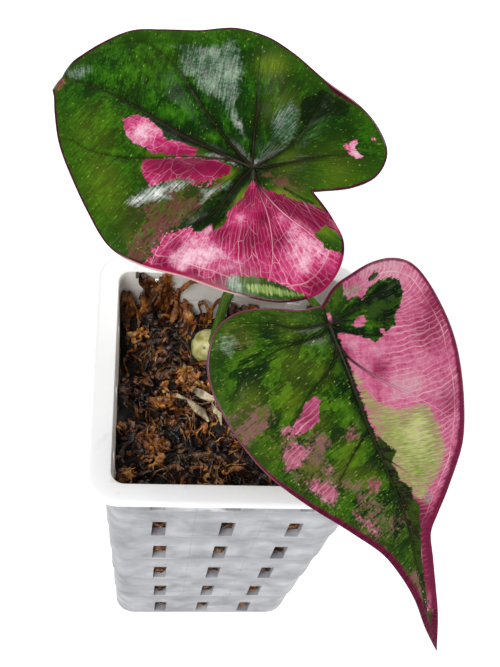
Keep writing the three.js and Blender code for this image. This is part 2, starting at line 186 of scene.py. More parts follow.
cut = pot.modifiers.new("slots", "BOOLEAN")
cut.operation = "DIFFERENCE"
cut.solver = "EXACT"
cut.object = core_object
apply_modifiers(pot)
bpy.data.objects.remove(core_object)
softened = pot.modifiers.new("moulded_edges", "BEVEL")
softened.width = 0.22 * MM
softened.segments = 2
softened.limit_method = "ANGLE"
softened.angle_limit = math.radians(50)
apply_modifiers(pot)


def linear(colour):
    """An sRGB hex colour as linear red, green, blue and alpha."""
    parts = [int(colour[i:i + 2], 16) / 255 for i in (1, 3, 5)]
    return [c / 12.92 if c <= 0.04045 else ((c + 0.055) / 1.055) ** 2.4 for c in parts] + [1.0]


def set_inputs(node, values):
    """Links or sets a node's inputs, by name or number."""
    for name, value in values.items():
        if isinstance(value, bpy.types.NodeSocket):
            node.id_data.links.new(value, node.inputs[name])
        else:
            node.inputs[name].default_value = value


def add_node(tree, kind, *values, **named):
    """Adds a node and gives its first live output. A word after its kind is its operation or data type. The
    values go into its live inputs in order. Of the named ones, lower-case names are settings."""
    kind, _, mode = kind.partition(" ")
    made = tree.nodes.new("ShaderNode" + kind)
    if mode:
        setattr(made, "data_type" if kind == "Mix" else "operation", mode)
    for name in [name for name in named if name.islower()]:
        setattr(made, name, named.pop(name))
    live = [number for number, socket in enumerate(made.inputs) if socket.enabled]
    set_inputs(made, {**dict(zip(live, values)), **named})
    return next(output for output in made.outputs if output.enabled)


def new_material(name):
    """A material of one surface shader, the function that adds nodes to it, and the shader."""
    made = bpy.data.materials.new(name)
    made.use_nodes = True
    return made, partial(add_node, made.node_tree), made.node_tree.nodes["Principled BSDF"]


def shade_smooth(piece, angle):
    """Smooth shading, kept sharp where faces meet at more than the angle in degrees."""
    piece.data.polygons.foreach_set("use_smooth", [True] * len(piece.data.polygons))
    sharp = bmesh.new()
    sharp.from_mesh(piece.data)
    for edge in sharp.edges:
        if len(edge.link_faces) == 2:
            edge.smooth = edge.calc_face_angle(0) < math.radians(angle)
    sharp.to_mesh(piece.data)
    sharp.free()


# Moulded polypropylene: white, satin and a little translucent. Its outer wall is painted grey under the white
# rim, as painted shade. Handling has left grey smudges, painted shade darkens a band under each tier, and
# water has left brown marks inside.
polypropylene, add, shader = new_material("moulded_polypropylene")
place = add("TexCoord").node.outputs["Object"]
x, y, z = add("SeparateXYZ", place).node.outputs
out_x, out_y = add("Math ABSOLUTE", x), add("Math ABSOLUTE", y)

# Patches some 10 mm across, and smudges 12 mm wide and 6 mm high, which the rim is nearly free of.
patchy = add("Mapping", place, Scale=(1 / (10 * MM), 1 / (10 * MM), 1 / (11 * MM)))
patch = add("TexNoise", patchy, 1, 3, 0.5, Distortion=0.3)
smears = add("Mapping", place, Scale=(1 / (12 * MM), 1 / (12 * MM), 1 / (6 * MM)))
smudge = add("TexNoise", smears, 1, 3, 0.5, Distortion=0.4)
on_wall = add("MapRange", z, 145 * MM, 148 * MM, 1, 0.03)
smudged = add("Math MULTIPLY", add("MapRange", smudge, 0.54, 0.78, 0, 0.7), on_wall)
mottled = add("MapRange", patch, 0.32, 0.68)
# The rim and the wall just under it keep the plastic's white; lower down, the outer wall's grey is painted
# shade.
rim_without_painted_shade = add("MapRange", add("Math MULTIPLY_ADD", patch, 30 * MM, z), 150 * MM, 162 * MM)

# Bands of painted shade, patchy, just under each tier's overhanging lower edge.
up_tier = add("Math MULTIPLY_ADD", z, 1 / (TIER_HEIGHT * MM), 1 - LOWEST_TIER / TIER_HEIGHT)
under_tier_edge = add("MapRange", add("Math FRACT", up_tier), 0.72, 0.99)
painted_tier_shade = add("Math MULTIPLY", under_tier_edge, add("MapRange", patch, 0.42, 0.62, 0, 0.75))
painted_tier_shade = add("Math MULTIPLY", painted_tier_shade, on_wall)

# The mould's parting lines midway between the columns of slots, up to the rim.
middle_way = add("Math MULTIPLY_ADD", z, (TOP_COLUMN - BOTTOM_COLUMN) / 2 / (TIERS * TIER_HEIGHT),
                 BOTTOM_COLUMN / 2 * MM)
parting = add("Math COMPARE", add("Math MINIMUM", out_x, out_y), middle_way, 0.16 * MM)
below_rim = add("Math LESS_THAN", z, (POT_TOP - LIP_DEPTH) * MM)
parting = add("Math MULTIPLY", add("Math MULTIPLY", parting, 0.4), below_rim)

# The inner wall above the mix keeps the plastic's white, without the outer wall's painted shade, and has
# brown stains that thin out upwards. Specks lie everywhere.
inner_wall = add("Math MULTIPLY_ADD", z, (NECK_HALF - BASE_HALF) / (POT_TOP - LIP_DEPTH),
                 (BASE_HALF - WALL + 0.2) * MM)
inner_wall = add("Math MINIMUM", inner_wall, (MOUTH_HALF + 0.2) * MM)
inside = add("Math LESS_THAN", add("Math MAXIMUM", out_x, out_y), inner_wall)
inside = add("Math MULTIPLY", inside, add("Math GREATER_THAN", z, 115 * MM))
splash = add("MapRange", z, 126 * MM, 150 * MM, 1, 0.1)
stain = add("Math MULTIPLY", add("MapRange", smudge, 0.46, 0.7, 0, 0.5), splash)
stain = add("Math MULTIPLY", stain, inside)
specked = add("MapRange", add("TexNoise", place, 1 / (1.6 * MM), 5, 0.7), 0.7, 0.76, 0, 0.8)
# The outer wall's grey base and its paler grey patches are painted shade on white plastic.
tint = linear("#84868B")
for share, colour in ((mottled, "#B7B8BD"), (rim_without_painted_shade, "#FEFEFF"), (smudged, "#7C7D84"),
                      (painted_tier_shade, "#7C7B80"), (parting, "#828388"), (inside, "#F6F3EE"), (stain, "#8A6E52"),
                      (specked, "#7A7068")):
    tint = add("Mix RGBA", share, tint, linear(colour))
grain = add("TexNoise", place, 1 / (0.9 * MM), 3)
set_inputs(shader, {
    "Base Color": tint, "Roughness": add("MapRange", smudge, 0, 1, 0.3, 0.55),
    "Normal": add("Bump", Height=grain, Strength=0.08, Distance=0.4 * MM), "IOR": 1.49,
    "Subsurface Weight": 0.12, "Subsurface Radius": (1.0, 1.0, 1.0), "Subsurface Scale": 1.5 * MM})
pot.data.materials.append(polypropylene)
shade_smooth(pot, 35)
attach(pot, "root")
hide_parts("pot")

# The growing mix: damp compost and fine bark that fills the pot to some 23 mm below the rim. Its top is
# uneven, highest in the back left corner, and its sides show through the slots.
MIX_LEVEL = 126.5
WALL_GAP = 0.3
MIX_CORNER = 3.7
MIX_CUTS = 89
ON_SIDE = 0.999


def mix_height(x, y):
    """Height of the mix's uneven top at a place in the pot, all in millimetres."""
    tufts = (1.3 * math.sin(0.33 * x + 0.11 * y + 1) + 1.1 * math.sin(0.37 * y - 0.16 * x + 2.2)
             + 0.7 * math.sin(0.71 * x + 0.52 * y) + 0.6 * math.sin(0.83 * y - 0.64 * x + 4))
    back_tuft = 6 * math.exp(-((x + 27) ** 2 + (y - 30) ** 2) / 130)
    front_tuft = 2.5 * math.exp(-((x + 16) ** 2 + (y + 28) ** 2) / 160)
    heap = 2.6 * math.exp(-((x + 15) ** 2 + (y - 7) ** 2) / 50)
    hollow = 2.8 * math.exp(-((x + 8) ** 2 + (y + 13) ** 2) / 70)
    hollow += 3 * math.exp(-((x + 34) ** 2 + (y - 15) ** 2) / 16)
    return MIX_LEVEL + tufts + back_tuft + front_tuft + heap - hollow


# A fine cube is shaped to the pot: its sides stop short of the wall and its top follows mix_height.
mix_mesh = bmesh.new()
bmesh.ops.create_cube(mix_mesh, size=2)
bmesh.ops.subdivide_edges(mix_mesh, edges=mix_mesh.edges, cuts=MIX_CUTS, use_grid_fill=True)
for v in mix_mesh.verts:
    up = (v.co.z + 1) / 2
    half = inner_half(FLOOR) + (inner_half(MIX_LEVEL) - inner_half(FLOOR)) * up - WALL_GAP
    x, y = v.co.x * half, v.co.y * half
    past = max(abs(v.co.x), abs(v.co.y))
    over_x, over_y = abs(x) - half + MIX_CORNER, abs(y) - half + MIX_CORNER
    round_off = math.hypot(max(over_x, 0), max(over_y, 0))
    if round_off > MIX_CORNER:
        x = math.copysign(half - MIX_CORNER + over_x * MIX_CORNER / round_off, x)
        y = math.copysign(half - MIX_CORNER + over_y * MIX_CORNER / round_off, y)
    top = mix_height(x, y)
    z = FLOOR + WALL_GAP + up * (top - FLOOR - WALL_GAP)
    spot = Vector((x, y, z))
    rough = noise.fractal(spot * 0.35, 1.0, 2.0, 4) * 0.9
    if past > ON_SIDE:
        pull = 1 - max(rough + 0.05, 0) / half
        x, y = x * pull, y * pull
    elif up > ON_SIDE:
        z += rough - 0.6
    v.co = Vector((x, y, z)) * MM
compost = new_object("compost", mix_mesh)


def lay_stops(ramp, *stops):
    """Gives a colour ramp its stops, each a place and a colour."""
    for element, (place, colour) in zip(ramp.elements, (stops[0], stops[-1])):
        element.position, element.color = place, linear(colour)
    for place, colour in stops[1:-1]:
        ramp.elements.new(place).color = linear(colour)


# Damp compost: near black in its gaps, brown to amber where fibres and fine bark lie in it.
damp_compost, add, shader = new_material("damp_compost")
place = add("TexCoord").node.outputs["Object"]
fibre = add("TexNoise", place, 330, 6, 0.65, Distortion=1.6)
tint = add("ValToRGB", fibre)
lay_stops(tint.node.color_ramp, (0.42, "#020101"), (0.56, "#0E0602"), (0.72, "#3A1C08"))
facing = add("NewGeometry").node.outputs["Normal"]
_, _, upward = add("SeparateXYZ", facing).node.outputs
on_side = add("MapRange", upward, 0.2, 0.6, 1, 0)
bare_fibre = add("Math MULTIPLY", on_side, add("MapRange", fibre, 0.42, 0.56))
tint = add("Mix RGBA", bare_fibre, tint, linear("#A06A30"))
set_inputs(shader, {"Base Color": tint, "Roughness": 0.55,
                    "Normal": add("Bump", Height=fibre, Strength=0.8, Distance=1.2 * MM)})
compost.data.materials.append(damp_compost)
shade_smooth(compost, 60)
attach(compost, "root")
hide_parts("growing_mix")

# Long-fibred sphagnum moss and bits of bark: wet crumpled ribbons, fibres and crumbs of several ages, from
# cream to old brown, tangled over the compost and banked against the back wall.
CORM_PLACE = (-6.6, 23.8)
MOSS_REACH = 36.5
CLUMP_REACH = 35.5
BACK_WALL = 36.9
LEFT_WALL = -36.6
PATH_POINTS = 10
RIBBON_SIDES = 8
draw = random.Random(5)
# The noise that crumples the strands takes its offsets from a generator of its own.
noise.seed_set(5)


def lying_path(length, curl, rise):
    """A crinkled centre line that lies on the mix, with both its ends tucked in, in millimetres."""
    x, y = draw.uniform(-MOSS_REACH, MOSS_REACH), draw.uniform(-MOSS_REACH, MOSS_REACH)
    heading = draw.uniform(0, 2 * math.pi)
    bend = draw.uniform(-curl, curl)
    lift = draw.uniform(0, 1) ** 1.6 * rise
    phase = draw.uniform(0, 6)
    path = []
    for i in range(PATH_POINTS):
        t = i / (PATH_POINTS - 1)
        heading += bend + draw.uniform(-0.5, 0.5) * curl
        x += math.cos(heading) * length / PATH_POINTS
        y += math.sin(heading) * length / PATH_POINTS
        arch = lift * math.sin(math.pi * t) + 0.6 * math.sin(phase + 9 * t) - 1.4 * abs(2 * t - 1) ** 3
        path.append((x, y, mix_height(x, y) + arch - 0.3))
    return path


def standing_path(x, y, height):
    """A centre line that climbs from the mix and leans on the back wall, its tip curled over."""
    sway, phase = draw.uniform(-0.35, 0.35), draw.uniform(0, 6)
    foot = mix_height(x, y) - 1.5
    path = []
    for i in range(PATH_POINTS):
        t = i / (PATH_POINTS - 1)
        lean = min(y + 7 * t + 0.5 * math.sin(phase + 5 * t), BACK_WALL)
        across = x + sway * height * t + 1.1 * math.sin(phase + 4.5 * t)
        path.append((max(across, LEFT_WALL), lean - 3.5 * max(t - 0.8, 0), foot + height * (t - 0.3 * t**6)))
    return path


def lies_free(path, clearance):
    """Whether a path stays inside the pot's walls and off the corm."""
    return all(max(abs(x), abs(y)) < MOSS_REACH + 0.5 and math.dist((x, y), CORM_PLACE) > clearance
               for x, y, _ in path)


def new_spline(curve, path):
    """Lays a straight-sided spline through a path in millimetres and gives its knots."""
    knots = curve.splines.new("POLY").points
    knots.add(len(path) - 1)
    for knot, place in zip(knots, path):
        knot.co = (*(c * MM for c in place), 1)
    return knots


def swept_mesh(name, curve):
    """The surface swept along a curve's splines, as a smooth-shaded mesh."""
    swept = new_object(name, curve)
    depsgraph = bpy.context.evaluated_depsgraph_get()
    data = bpy.data.meshes.new_from_object(swept.evaluated_get(depsgraph), depsgraph=depsgraph)
    bpy.data.objects.remove(swept)
    data.name = name
    data.polygons.foreach_set("use_smooth", [True] * len(data.polygons))
    return data


def moss_piece(name, paths, width, thickness, cup, crumple, reach=0.0):
    """One object of many strands: a cupped ribbon's section swept along each path, then crumpled.
    All of it stays inside the pot's walls, or reaches so many millimetres into their slots."""
    profile = bpy.data.curves.new(name + "_section", "CURVE")
    profile.dimensions = "2D"
    outline = profile.splines.new("POLY")
    outline.points.add(RIBBON_SIDES - 1)
    for i in range(RIBBON_SIDES):
        angle = i / RIBBON_SIDES * 2 * math.pi
        across, up = math.cos(angle), math.sin(angle)
        bowed = thickness / 2 * up + cup * width * (across * across - 0.5)
        outline.points[i].co = (width / 2 * MM * across, bowed * MM, 0, 1)
    outline.use_cyclic_u = True
    section = new_object(name + "_section", profile)
    strands = bpy.data.curves.new(name, "CURVE")
    strands.dimensions = "3D"
    strands.bevel_mode = "OBJECT"
    strands.bevel_object = section
    strands.use_fill_caps = True
    for path in paths:
        size, spin = draw.uniform(0.5, 1.3), draw.uniform(0, math.pi)
        for i, knot in enumerate(new_spline(strands, path)):
            taper = 1 - 0.8 * abs(2 * i / (len(path) - 1) - 1) ** 3
            knot.radius = size * taper * draw.uniform(0.65, 1.25)
            knot.tilt = spin + 0.3 * i
    data = swept_mesh(name, strands)
    bpy.data.objects.remove(section)
    for v in data.vertices:
        spot = v.co / MM
        v.co += (noise.noise_vector(spot * 0.55) + 0.5 * noise.noise_vector(spot * 1.5)) * crumple * MM
        limit = (inner_half(v.co.z / MM) - WALL_GAP + reach) * MM
        v.co.x = max(-limit, min(limit, v.co.x))
        v.co.y = max(-limit, min(limit, v.co.y))
    return new_object(name, data)


def moss_material(name, dark, mid, pale, gloss):
    """Wet sphagnum: each strand mottled from its dark water-logged side to its paler dry one, with patches of
    painted shade.
    """
    made, add, shader = new_material(name)
    place = add("TexCoord").node.outputs["Object"]
    patch = add("TexNoise", place, 1 / (4.5 * MM), 6, 0.72)
    tint = add("ValToRGB", patch)
    lay_stops(tint.node.color_ramp, (0.4, dark), (0.53, mid), (0.68, pale))
    # Patches some 13 mm across are painted nearly black: painted shade.
    shade_patch_noise = add("TexNoise", place, 1 / (13 * MM), 3, 0.6)
    painted_shade_patches = add("MapRange", shade_patch_noise, 0.49, 0.6, 0, 0.85)
    tint = add("Mix RGBA", painted_shade_patches, tint, linear("#0A0301"))
    cells = add("TexNoise", place, 1 / (0.8 * MM), 4)
    wet = add("MapRange", cells, 0.35, 0.65, gloss - 0.2, gloss + 0.25)
    set_inputs(shader, {"Base Color": tint, "Roughness": wet, "Specular IOR Level": 0.7,
                        "Normal": add("Bump", Height=cells, Strength=0.8, Distance=0.5 * MM)})
    return made


moss_kinds = [
    # name, count, length, width, thickness, cup, crumple, curl, rise, clearance, dark, mid, pale, roughness
    ("moss_old", 190, (8, 17), 2.6, 1.1, 0.16, 0.9, 0.42, 2.2, 5.4, "#070200", "#341A08", "#8A4C18", 0.34),
    ("moss_amber", 150, (6, 14), 2.2, 0.9, 0.2, 0.9, 0.45, 3.4, 5.8, "#260E02", "#9C5414", "#ECB05A", 0.32),
    ("moss_tan", 26, (5, 11), 2.0, 0.9, 0.2, 0.8, 0.4, 4.2, 7.5, "#5E340C", "#B07830", "#E8C07C", 0.36),
    ("moss_fibres", 260, (6, 18), 0.5, 0.4, 0.0, 0.3, 0.34, 4.4, 7, "#3A1E08", "#A0682C", "#E0B878", 0.36),
]
for name, count, length, width, thickness, cup, crumple, curl, rise, clearance, *finish in moss_kinds:
    paths = []
    while len(paths) < count:
        path = lying_path(draw.uniform(*length), curl, rise)
        if lies_free(path, clearance):
            paths.append(path)
    piece = moss_piece(name, paths, width, thickness, cup, crumple)
    piece.data.materials.append(moss_material("wet_sphagnum_" + name, *finish))
    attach(piece, "root")

# Moss banked against the back wall: place of each bunch, how many pieces stand in it and how tall.
moss_bunches = [(-34, 29, 6, 18), (-30, 31, 5, 23), (-24, 34.5, 11, 27), (-22.2, 35.2, 9, 28),
                (-19, 31, 3, 17), (-14, 31, 5, 9), (-8, 33, 3, 15), (1, 32, 6, 15), (8, 31, 4, 12),
                (20, 31, 5, 13), (30, 30, 5, 14)]
paths = []
for x, y, count, height in moss_bunches:
    paths += [standing_path(x + draw.gauss(0, 1.8), y + draw.gauss(0, 1.2), height * draw.uniform(0.6, 1.1))
              for _ in range(count)]
piece = moss_piece("moss_standing", paths, 3.4, 1.0, 0.22, 0.8)
piece.data.materials.append(moss_material("wet_sphagnum_standing", "#2C1404", "#8A4A14", "#D08E40", 0.38))
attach(piece, "root")

# Crumbly clumps of brighter moss: centre, spread and number of short curls.
moss_clumps = [(-14.5, 8, 4.2, 34), (-21, 1, 3.5, 16), (-27, 9, 3, 10), (-25, -19, 3.4, 24),
               (-31, 24, 2.6, 10), (-16, -24, 5, 14), (-33, -26, 2.5, 8), (-34.5, 3, 3, 9),
               (-34.5, -9, 3, 9), (-6, -22, 5, 10)]
paths = []
for x, y, spread, count in moss_clumps:
    for _ in range(count):
        heading = draw.uniform(0, 6)
        u = max(-CLUMP_REACH, min(x + draw.gauss(0, spread / 1.6), CLUMP_REACH))
        w = max(-CLUMP_REACH, min(y + draw.gauss(0, spread / 1.6), CLUMP_REACH))
        high = mix_height(u, w) + draw.uniform(1, 4.5)
        paths.append([(u + 2.2 * math.cos(heading + 0.7 * i) * i / 4,
                       w + 2.2 * math.sin(heading + 0.7 * i) * i / 4, high + 0.5 * math.sin(2.1 * i))
                      for i in range(5)])
paths = [path for path in paths if lies_free(path, 7)]
piece = moss_piece("moss_clumps", paths, 1.9, 1.2, 0.15, 0.8)
piece.data.materials.append(moss_material("wet_sphagnum_clumps", "#401C04", "#B06A20", "#F0BC6C", 0.32))
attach(piece, "root")

# Ends of moss that the mix presses into the slots below its surface.
paths = []
for tier in range(TIERS - 1):
    low, column = slot_row(tier)
    for side in range(4):
        turn = Matrix.Rotation(side * math.pi / 2, 3, "Z")
        for across in (-column, 0, column):
            for _ in range(draw.randint(3, 7)):
                high = low + draw.uniform(0.2, 6)
                depth = outer_half(high) - draw.uniform(1.1, 2.7)
                paths.append([tuple(turn @ Vector((across + u, 0.4 * draw.uniform(-1, 1) - depth,
                                                   high + 0.6 * draw.uniform(-1, 1))))
                              for u in (-1.6, -0.8, 0, 0.8, 1.6)])
# One slot of the top row, behind the heap in the back left corner, is stopped with 16 layers of it.
for layer in range(16):
    paths.append([(across, 38.2 + 0.4 * draw.uniform(-1, 1), 135.5 + 0.75 * layer)
                  for across in (-25.7, -24.6, -23.6, -22.6, -21.5)])
piece = moss_piece("moss_in_slots", paths, 1.3, 0.9, 0.1, 0.3, reach=1.6)
piece.data.materials.append(moss_material("wet_sphagnum_in_slots", "#2A1204", "#8A5218", "#D09848", 0.4))
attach(piece, "root")

# Three curled strips of dead root skin near the corm, cream where they have dried.
strips = [
    [(-20, 0.5), (-17, 1.2), (-14, 0), (-11, -2.4), (-8.5, -3.6), (-6.4, -6)],
    [(-5.6, -0.6), (-4.8, -3), (-3.4, -5), (-2.6, -7.6)],
    [(-12.5, 4.6), (-9, 3.4), (-5.5, 1.4), (-3, 1.8)],
]
paths = []
for strip in strips:
    paths.append([(x, y, mix_height(x, y) + 4 - 0.5 * (i % 2)) for i, (x, y) in enumerate(strip)])
piece = moss_piece("root_skins", paths, 4, 1.1, 0.2, 0.7)
piece.data.materials.append(moss_material("dry_root_skin", "#7E6A48", "#CDBE98", "#EFE8D2", 0.45))
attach(piece, "root")

# Crumbs of bark and compost, 0.8 to 3 mm wide, strewn over it all.
CRUMBS = 420
crumbs = bmesh.new()
for _ in range(CRUMBS):
    x, y = draw.uniform(-MOSS_REACH, MOSS_REACH), draw.uniform(-MOSS_REACH, MOSS_REACH)
    size = draw.uniform(0.4, 1.5)
    turn = Matrix.Rotation(draw.uniform(0, 6), 4, "X") @ Matrix.Rotation(draw.uniform(0, 6), 4, "Z")
    if math.dist((x, y), CORM_PLACE) > 8:
        spot = Vector((x, y, mix_height(x, y) + draw.uniform(-0.2, 2.4))) * MM
        stretch = Matrix.Diagonal((draw.uniform(0.8, 1.8) * size * MM, size * MM,
                                   draw.uniform(0.5, 0.9) * size * MM, 1))
        bmesh.ops.create_icosphere(crumbs, subdivisions=1, radius=1,
                                   matrix=Matrix.Translation(spot) @ turn @ stretch)
bmesh.ops.subdivide_edges(crumbs, edges=crumbs.edges, cuts=1, smooth=0.6, use_grid_fill=True)
for v in crumbs.verts:
    v.co += noise.noise_vector(v.co / MM * 1.3) * 0.35 * MM
bark_crumbs = new_object("bark_crumbs", crumbs)
bark_crumbs.data.materials.append(moss_material("damp_bark", "#0A0402", "#4A220A", "#A8682A", 0.3))
shade_smooth(bark_crumbs, 60)
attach(bark_crumbs, "root")

# The corm: the plant's pale swollen stem base, half sunk in the mix, with a ring scar and a brown bud scar.
BUD_SCAR = (-8.1, 20.4, 131)
corm_low, corm_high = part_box("corm")
corm_centre = (corm_low + corm_high) / 2
corm_size = (corm_high - corm_low) / 2
corm_mesh = bmesh.new()
bmesh.ops.create_icosphere(corm_mesh, subdivisions=5, radius=1)
for v in corm_mesh.verts:
    swell = 1 + 0.07 * noise.noise(v.co * 1.6) - 0.05 * math.exp(-((v.co.z - 0.35) / 0.06) ** 2)
    v.co = Vector(a * b for a, b in zip(v.co * min(swell, 1.0), corm_size)) + corm_centre
stem_base = new_object("stem_base", corm_mesh)
corm_skin, add, shader = new_material("corm_skin")
place = add("TexCoord").node.outputs["Object"]
blotch = add("TexNoise", place, 260, 5)
tint = add("ValToRGB", blotch)
lay_stops(tint.node.color_ramp, (0.36, "#A09A48"), (0.55, "#DCD89C"))
from_scar = add("VectorMath DISTANCE", place, Vector(BUD_SCAR) * MM)
scarred = add("MapRange", from_scar, 0.35 * MM, 0.75 * MM, 0.9, 0)
tint = add("Mix RGBA", scarred, tint, linear("#5A3A14"))
set_inputs(shader, {"Base Color": tint, "Roughness": 0.5, "Subsurface Weight": 0.2,
                    "Subsurface Scale": 1.5 * MM})
stem_base.data.materials.append(corm_skin)
shade_smooth(stem_base, 60)
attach(stem_base, "root")
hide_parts("corm")

# The petioles: each blade's own stalk, a firm green tube that rises from the corm, thins on its way up and
# runs on under the blade as the root of its midrib. Its end follows the blade, so the blades' sheets come
# first: on each, a runs from the stalk's joint to the drip tip and b across it, in millimetres.
back_blade = {
    "joint": (-1.44, 32.02, 215),
    "to_tip": (-0.825, 0.556, -0.098),
    "up": (-0.263, -0.225, 0.938),
    "midrib": [(0, 0), (20, 0.8), (40, -0.6), (60, -1.8), (72, -0.6), (95, 0)],
    "fold": (69, 2.5, math.radians(90)),
    "height": lambda a, b: (-2.5 * np.exp(-(a * a + b * b) / 81) - 0.0018 * b * b
                            - 0.0025 * np.maximum(a - 20, 0) ** 2 - 0.006 * np.maximum(-a - 10, 0) ** 2),
}
front_blade = {
    "joint": (24.76, -1.85, 185),
    "to_tip": (0.366, -0.705, -0.608),
    "up": (0.28, -0.54, 0.794),
    "midrib": [(0, 0), (12, -0.8), (30, -0.8), (50, 0.7), (70, 1.5), (100, 1.6), (112, 1.2)],
    "fold": (112, 1, 0),
    "height": lambda a, b: (4.13 - 4.14 * ((a - 50) / 50) ** 2 - 0.0024 * b * b
                            - 2 * np.exp(-((a - 2) ** 2 + b * b) / 60)),
}
back_stalk = [(-4.4, 26.8, 127), (-3.4, 27, 145), (-1.7, 27, 170), (0.3, 29, 195), (0.9, 32.6, 206)]
front_stalk = [(-5.4, 22.4, 127), (-4.3, 22.8, 145), (-2, 21.8, 166), (3.6, 18.2, 185), (9.8, 12.4, 192.2),
               (15.6, 7.2, 189.6)]
STALK_BASE = 1.65
STALK_TOP = 1.2
STALK_END = 0.75


def on_sheet(blade, a, b):
    """The blade's surface at sheet places a, b: points in millimetres, drooping over its fold."""
    start, radius, angle = blade["fold"]
    past = np.maximum(a - start, 0)
    turned = np.minimum(past / radius, angle)
    straight = np.maximum(past - radius * angle, 0)
    along = np.minimum(a, start) + radius * np.sin(turned) + straight * math.cos(angle)
    drop = radius * (1 - np.cos(turned)) + straight * math.sin(angle)
    height = blade["height"](np.minimum(a, start), b) - drop
    to_tip, up = np.array(blade["to_tip"]), np.array(blade["up"])
    across = b[..., None] * np.cross(up, to_tip)
    return np.array(blade["joint"]) + along[..., None] * to_tip + across + height[..., None] * up


def off_sheet(blade, a, b, lift):
    """The same points moved off the surface, square to it."""
    a, b, lift = np.broadcast_arrays(np.asarray(a, float), np.asarray(b, float), np.asarray(lift, float))
    along = on_sheet(blade, a + 0.2, b) - on_sheet(blade, a - 0.2, b)
    across = on_sheet(blade, a, b + 0.2) - on_sheet(blade, a, b - 0.2)
    normal = np.cross(along, across)
    normal /= np.linalg.norm(normal, axis=-1, keepdims=True)
    return on_sheet(blade, a, b) + lift[..., None] * normal


def midrib_offset(blade, a):
    """How far across the sheet the midrib lies, eased between its points."""
    stops, offsets = np.array(blade["midrib"]).T
    i = np.clip(np.searchsorted(stops, a) - 1, 0, len(stops) - 2)
    t = np.clip((a - stops[i]) / (stops[i + 1] - stops[i]), 0, 1)
    return offsets[i] + (offsets[i + 1] - offsets[i]) * t * t * (3 - 2 * t)


def smooth_through(points, count):
    """A centripetal Catmull-Rom curve through the points, as count + 1 points evenly spaced along it."""
    p = np.array(points, float)
    p = np.vstack([2 * p[0] - p[1], p, 2 * p[-1] - p[-2]])
    gaps = np.linalg.norm(np.diff(p, axis=0), axis=1)[:, None] ** 0.5
    slopes = np.diff(p, axis=0) / gaps
    tangents = slopes[:-1] - (p[2:] - p[:-2]) / (gaps[:-1] + gaps[1:]) + slopes[1:]
    t = np.linspace(0, 1, 24, endpoint=False)[:, None]
    stretches = []
    for i in range(1, len(p) - 2):
        leave, arrive = tangents[i - 1] * gaps[i], tangents[i] * gaps[i]
        stretches.append((2 * t**3 - 3 * t**2 + 1) * p[i] + (t**3 - 2 * t**2 + t) * leave
                         + (3 * t**2 - 2 * t**3) * p[i + 1] + (t**3 - t**2) * arrive)
    fine = np.vstack(stretches + [p[-2][None]])
    run = np.concatenate([[0], np.cumsum(np.linalg.norm(np.diff(fine, axis=0), axis=1))])
    even = np.linspace(0, run[-1], count + 1)
    return np.stack([np.interp(even, run, fine[:, k]) for k in range(fine.shape[1])], 1)


def tapered_tubes(name, tubes, sides):
    """One object of round tubes, each a path and its radii in millimetres."""
    curve = bpy.data.curves.new(name, "CURVE")
    curve.dimensions = "3D"
    curve.bevel_depth = MM
    curve.bevel_resolution = sides // 4
    curve.use_fill_caps = True
    for path, radii in tubes:
        for knot, radius in zip(new_spline(curve, path), radii):
            knot.radius = radius
    return new_object(name, swept_mesh(name, curve))


# Petiole skin: waxy and olive green, streaked lengthways with darker and paler green and flecked brown.
petiole_skin, add, shader = new_material("petiole_skin")
place = add("TexCoord").node.outputs["Object"]
drawn_out = add("Mapping", place, Scale=(1 / (0.7 * MM), 1 / (0.7 * MM), 1 / (9 * MM)))
streak = add("TexNoise", drawn_out, 1, 5, 0.6)
tint = add("ValToRGB", streak)
lay_stops(tint.node.color_ramp, (0.32, "#2A4A0E"), (0.7, "#5E8A30"))
flecks = add("TexNoise", place, 1 / (1.6 * MM), 4)
flecked = add("MapRange", flecks, 0.6, 0.72, 0, 0.6)
skin = add("Mix RGBA", flecked, tint, linear("#463218"))
set_inputs(shader, {"Base Color": skin, "Roughness": 0.36,
                    "Normal": add("Bump", Height=streak, Strength=0.3, Distance=0.2 * MM)})
for name, node, stalk, blade, under in (
        ("back_stalk", "petiole_back", back_stalk, back_blade, [(-0.6, 3.2), (2.4, 1.7), (6, 1.55)]),
        ("front_stalk", "petiole_front", front_stalk, front_blade, [(-3.4, 2.6), (1.5, 1.9), (7, 1.6)])):
    ends = [off_sheet(blade, a, midrib_offset(blade, np.maximum(a, 0)), -depth) for a, depth in under]
    line = smooth_through([*stalk, *ends], 90)
    share = np.linspace(0, 1, len(line))
    to_rib = np.clip((share - 0.88) / 0.12, 0, 1)
    to_rib = to_rib * to_rib * (3 - 2 * to_rib)
    radii = STALK_BASE + (STALK_TOP - STALK_BASE) * np.sqrt(share)
    radii = radii + (STALK_END - radii) * to_rib + 0.5 * np.exp(-share / 0.05)
    piece = tapered_tubes(name, [(line, radii)], 20)
    piece.data.materials.append(petiole_skin)
    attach(piece, "root")
    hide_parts(node)

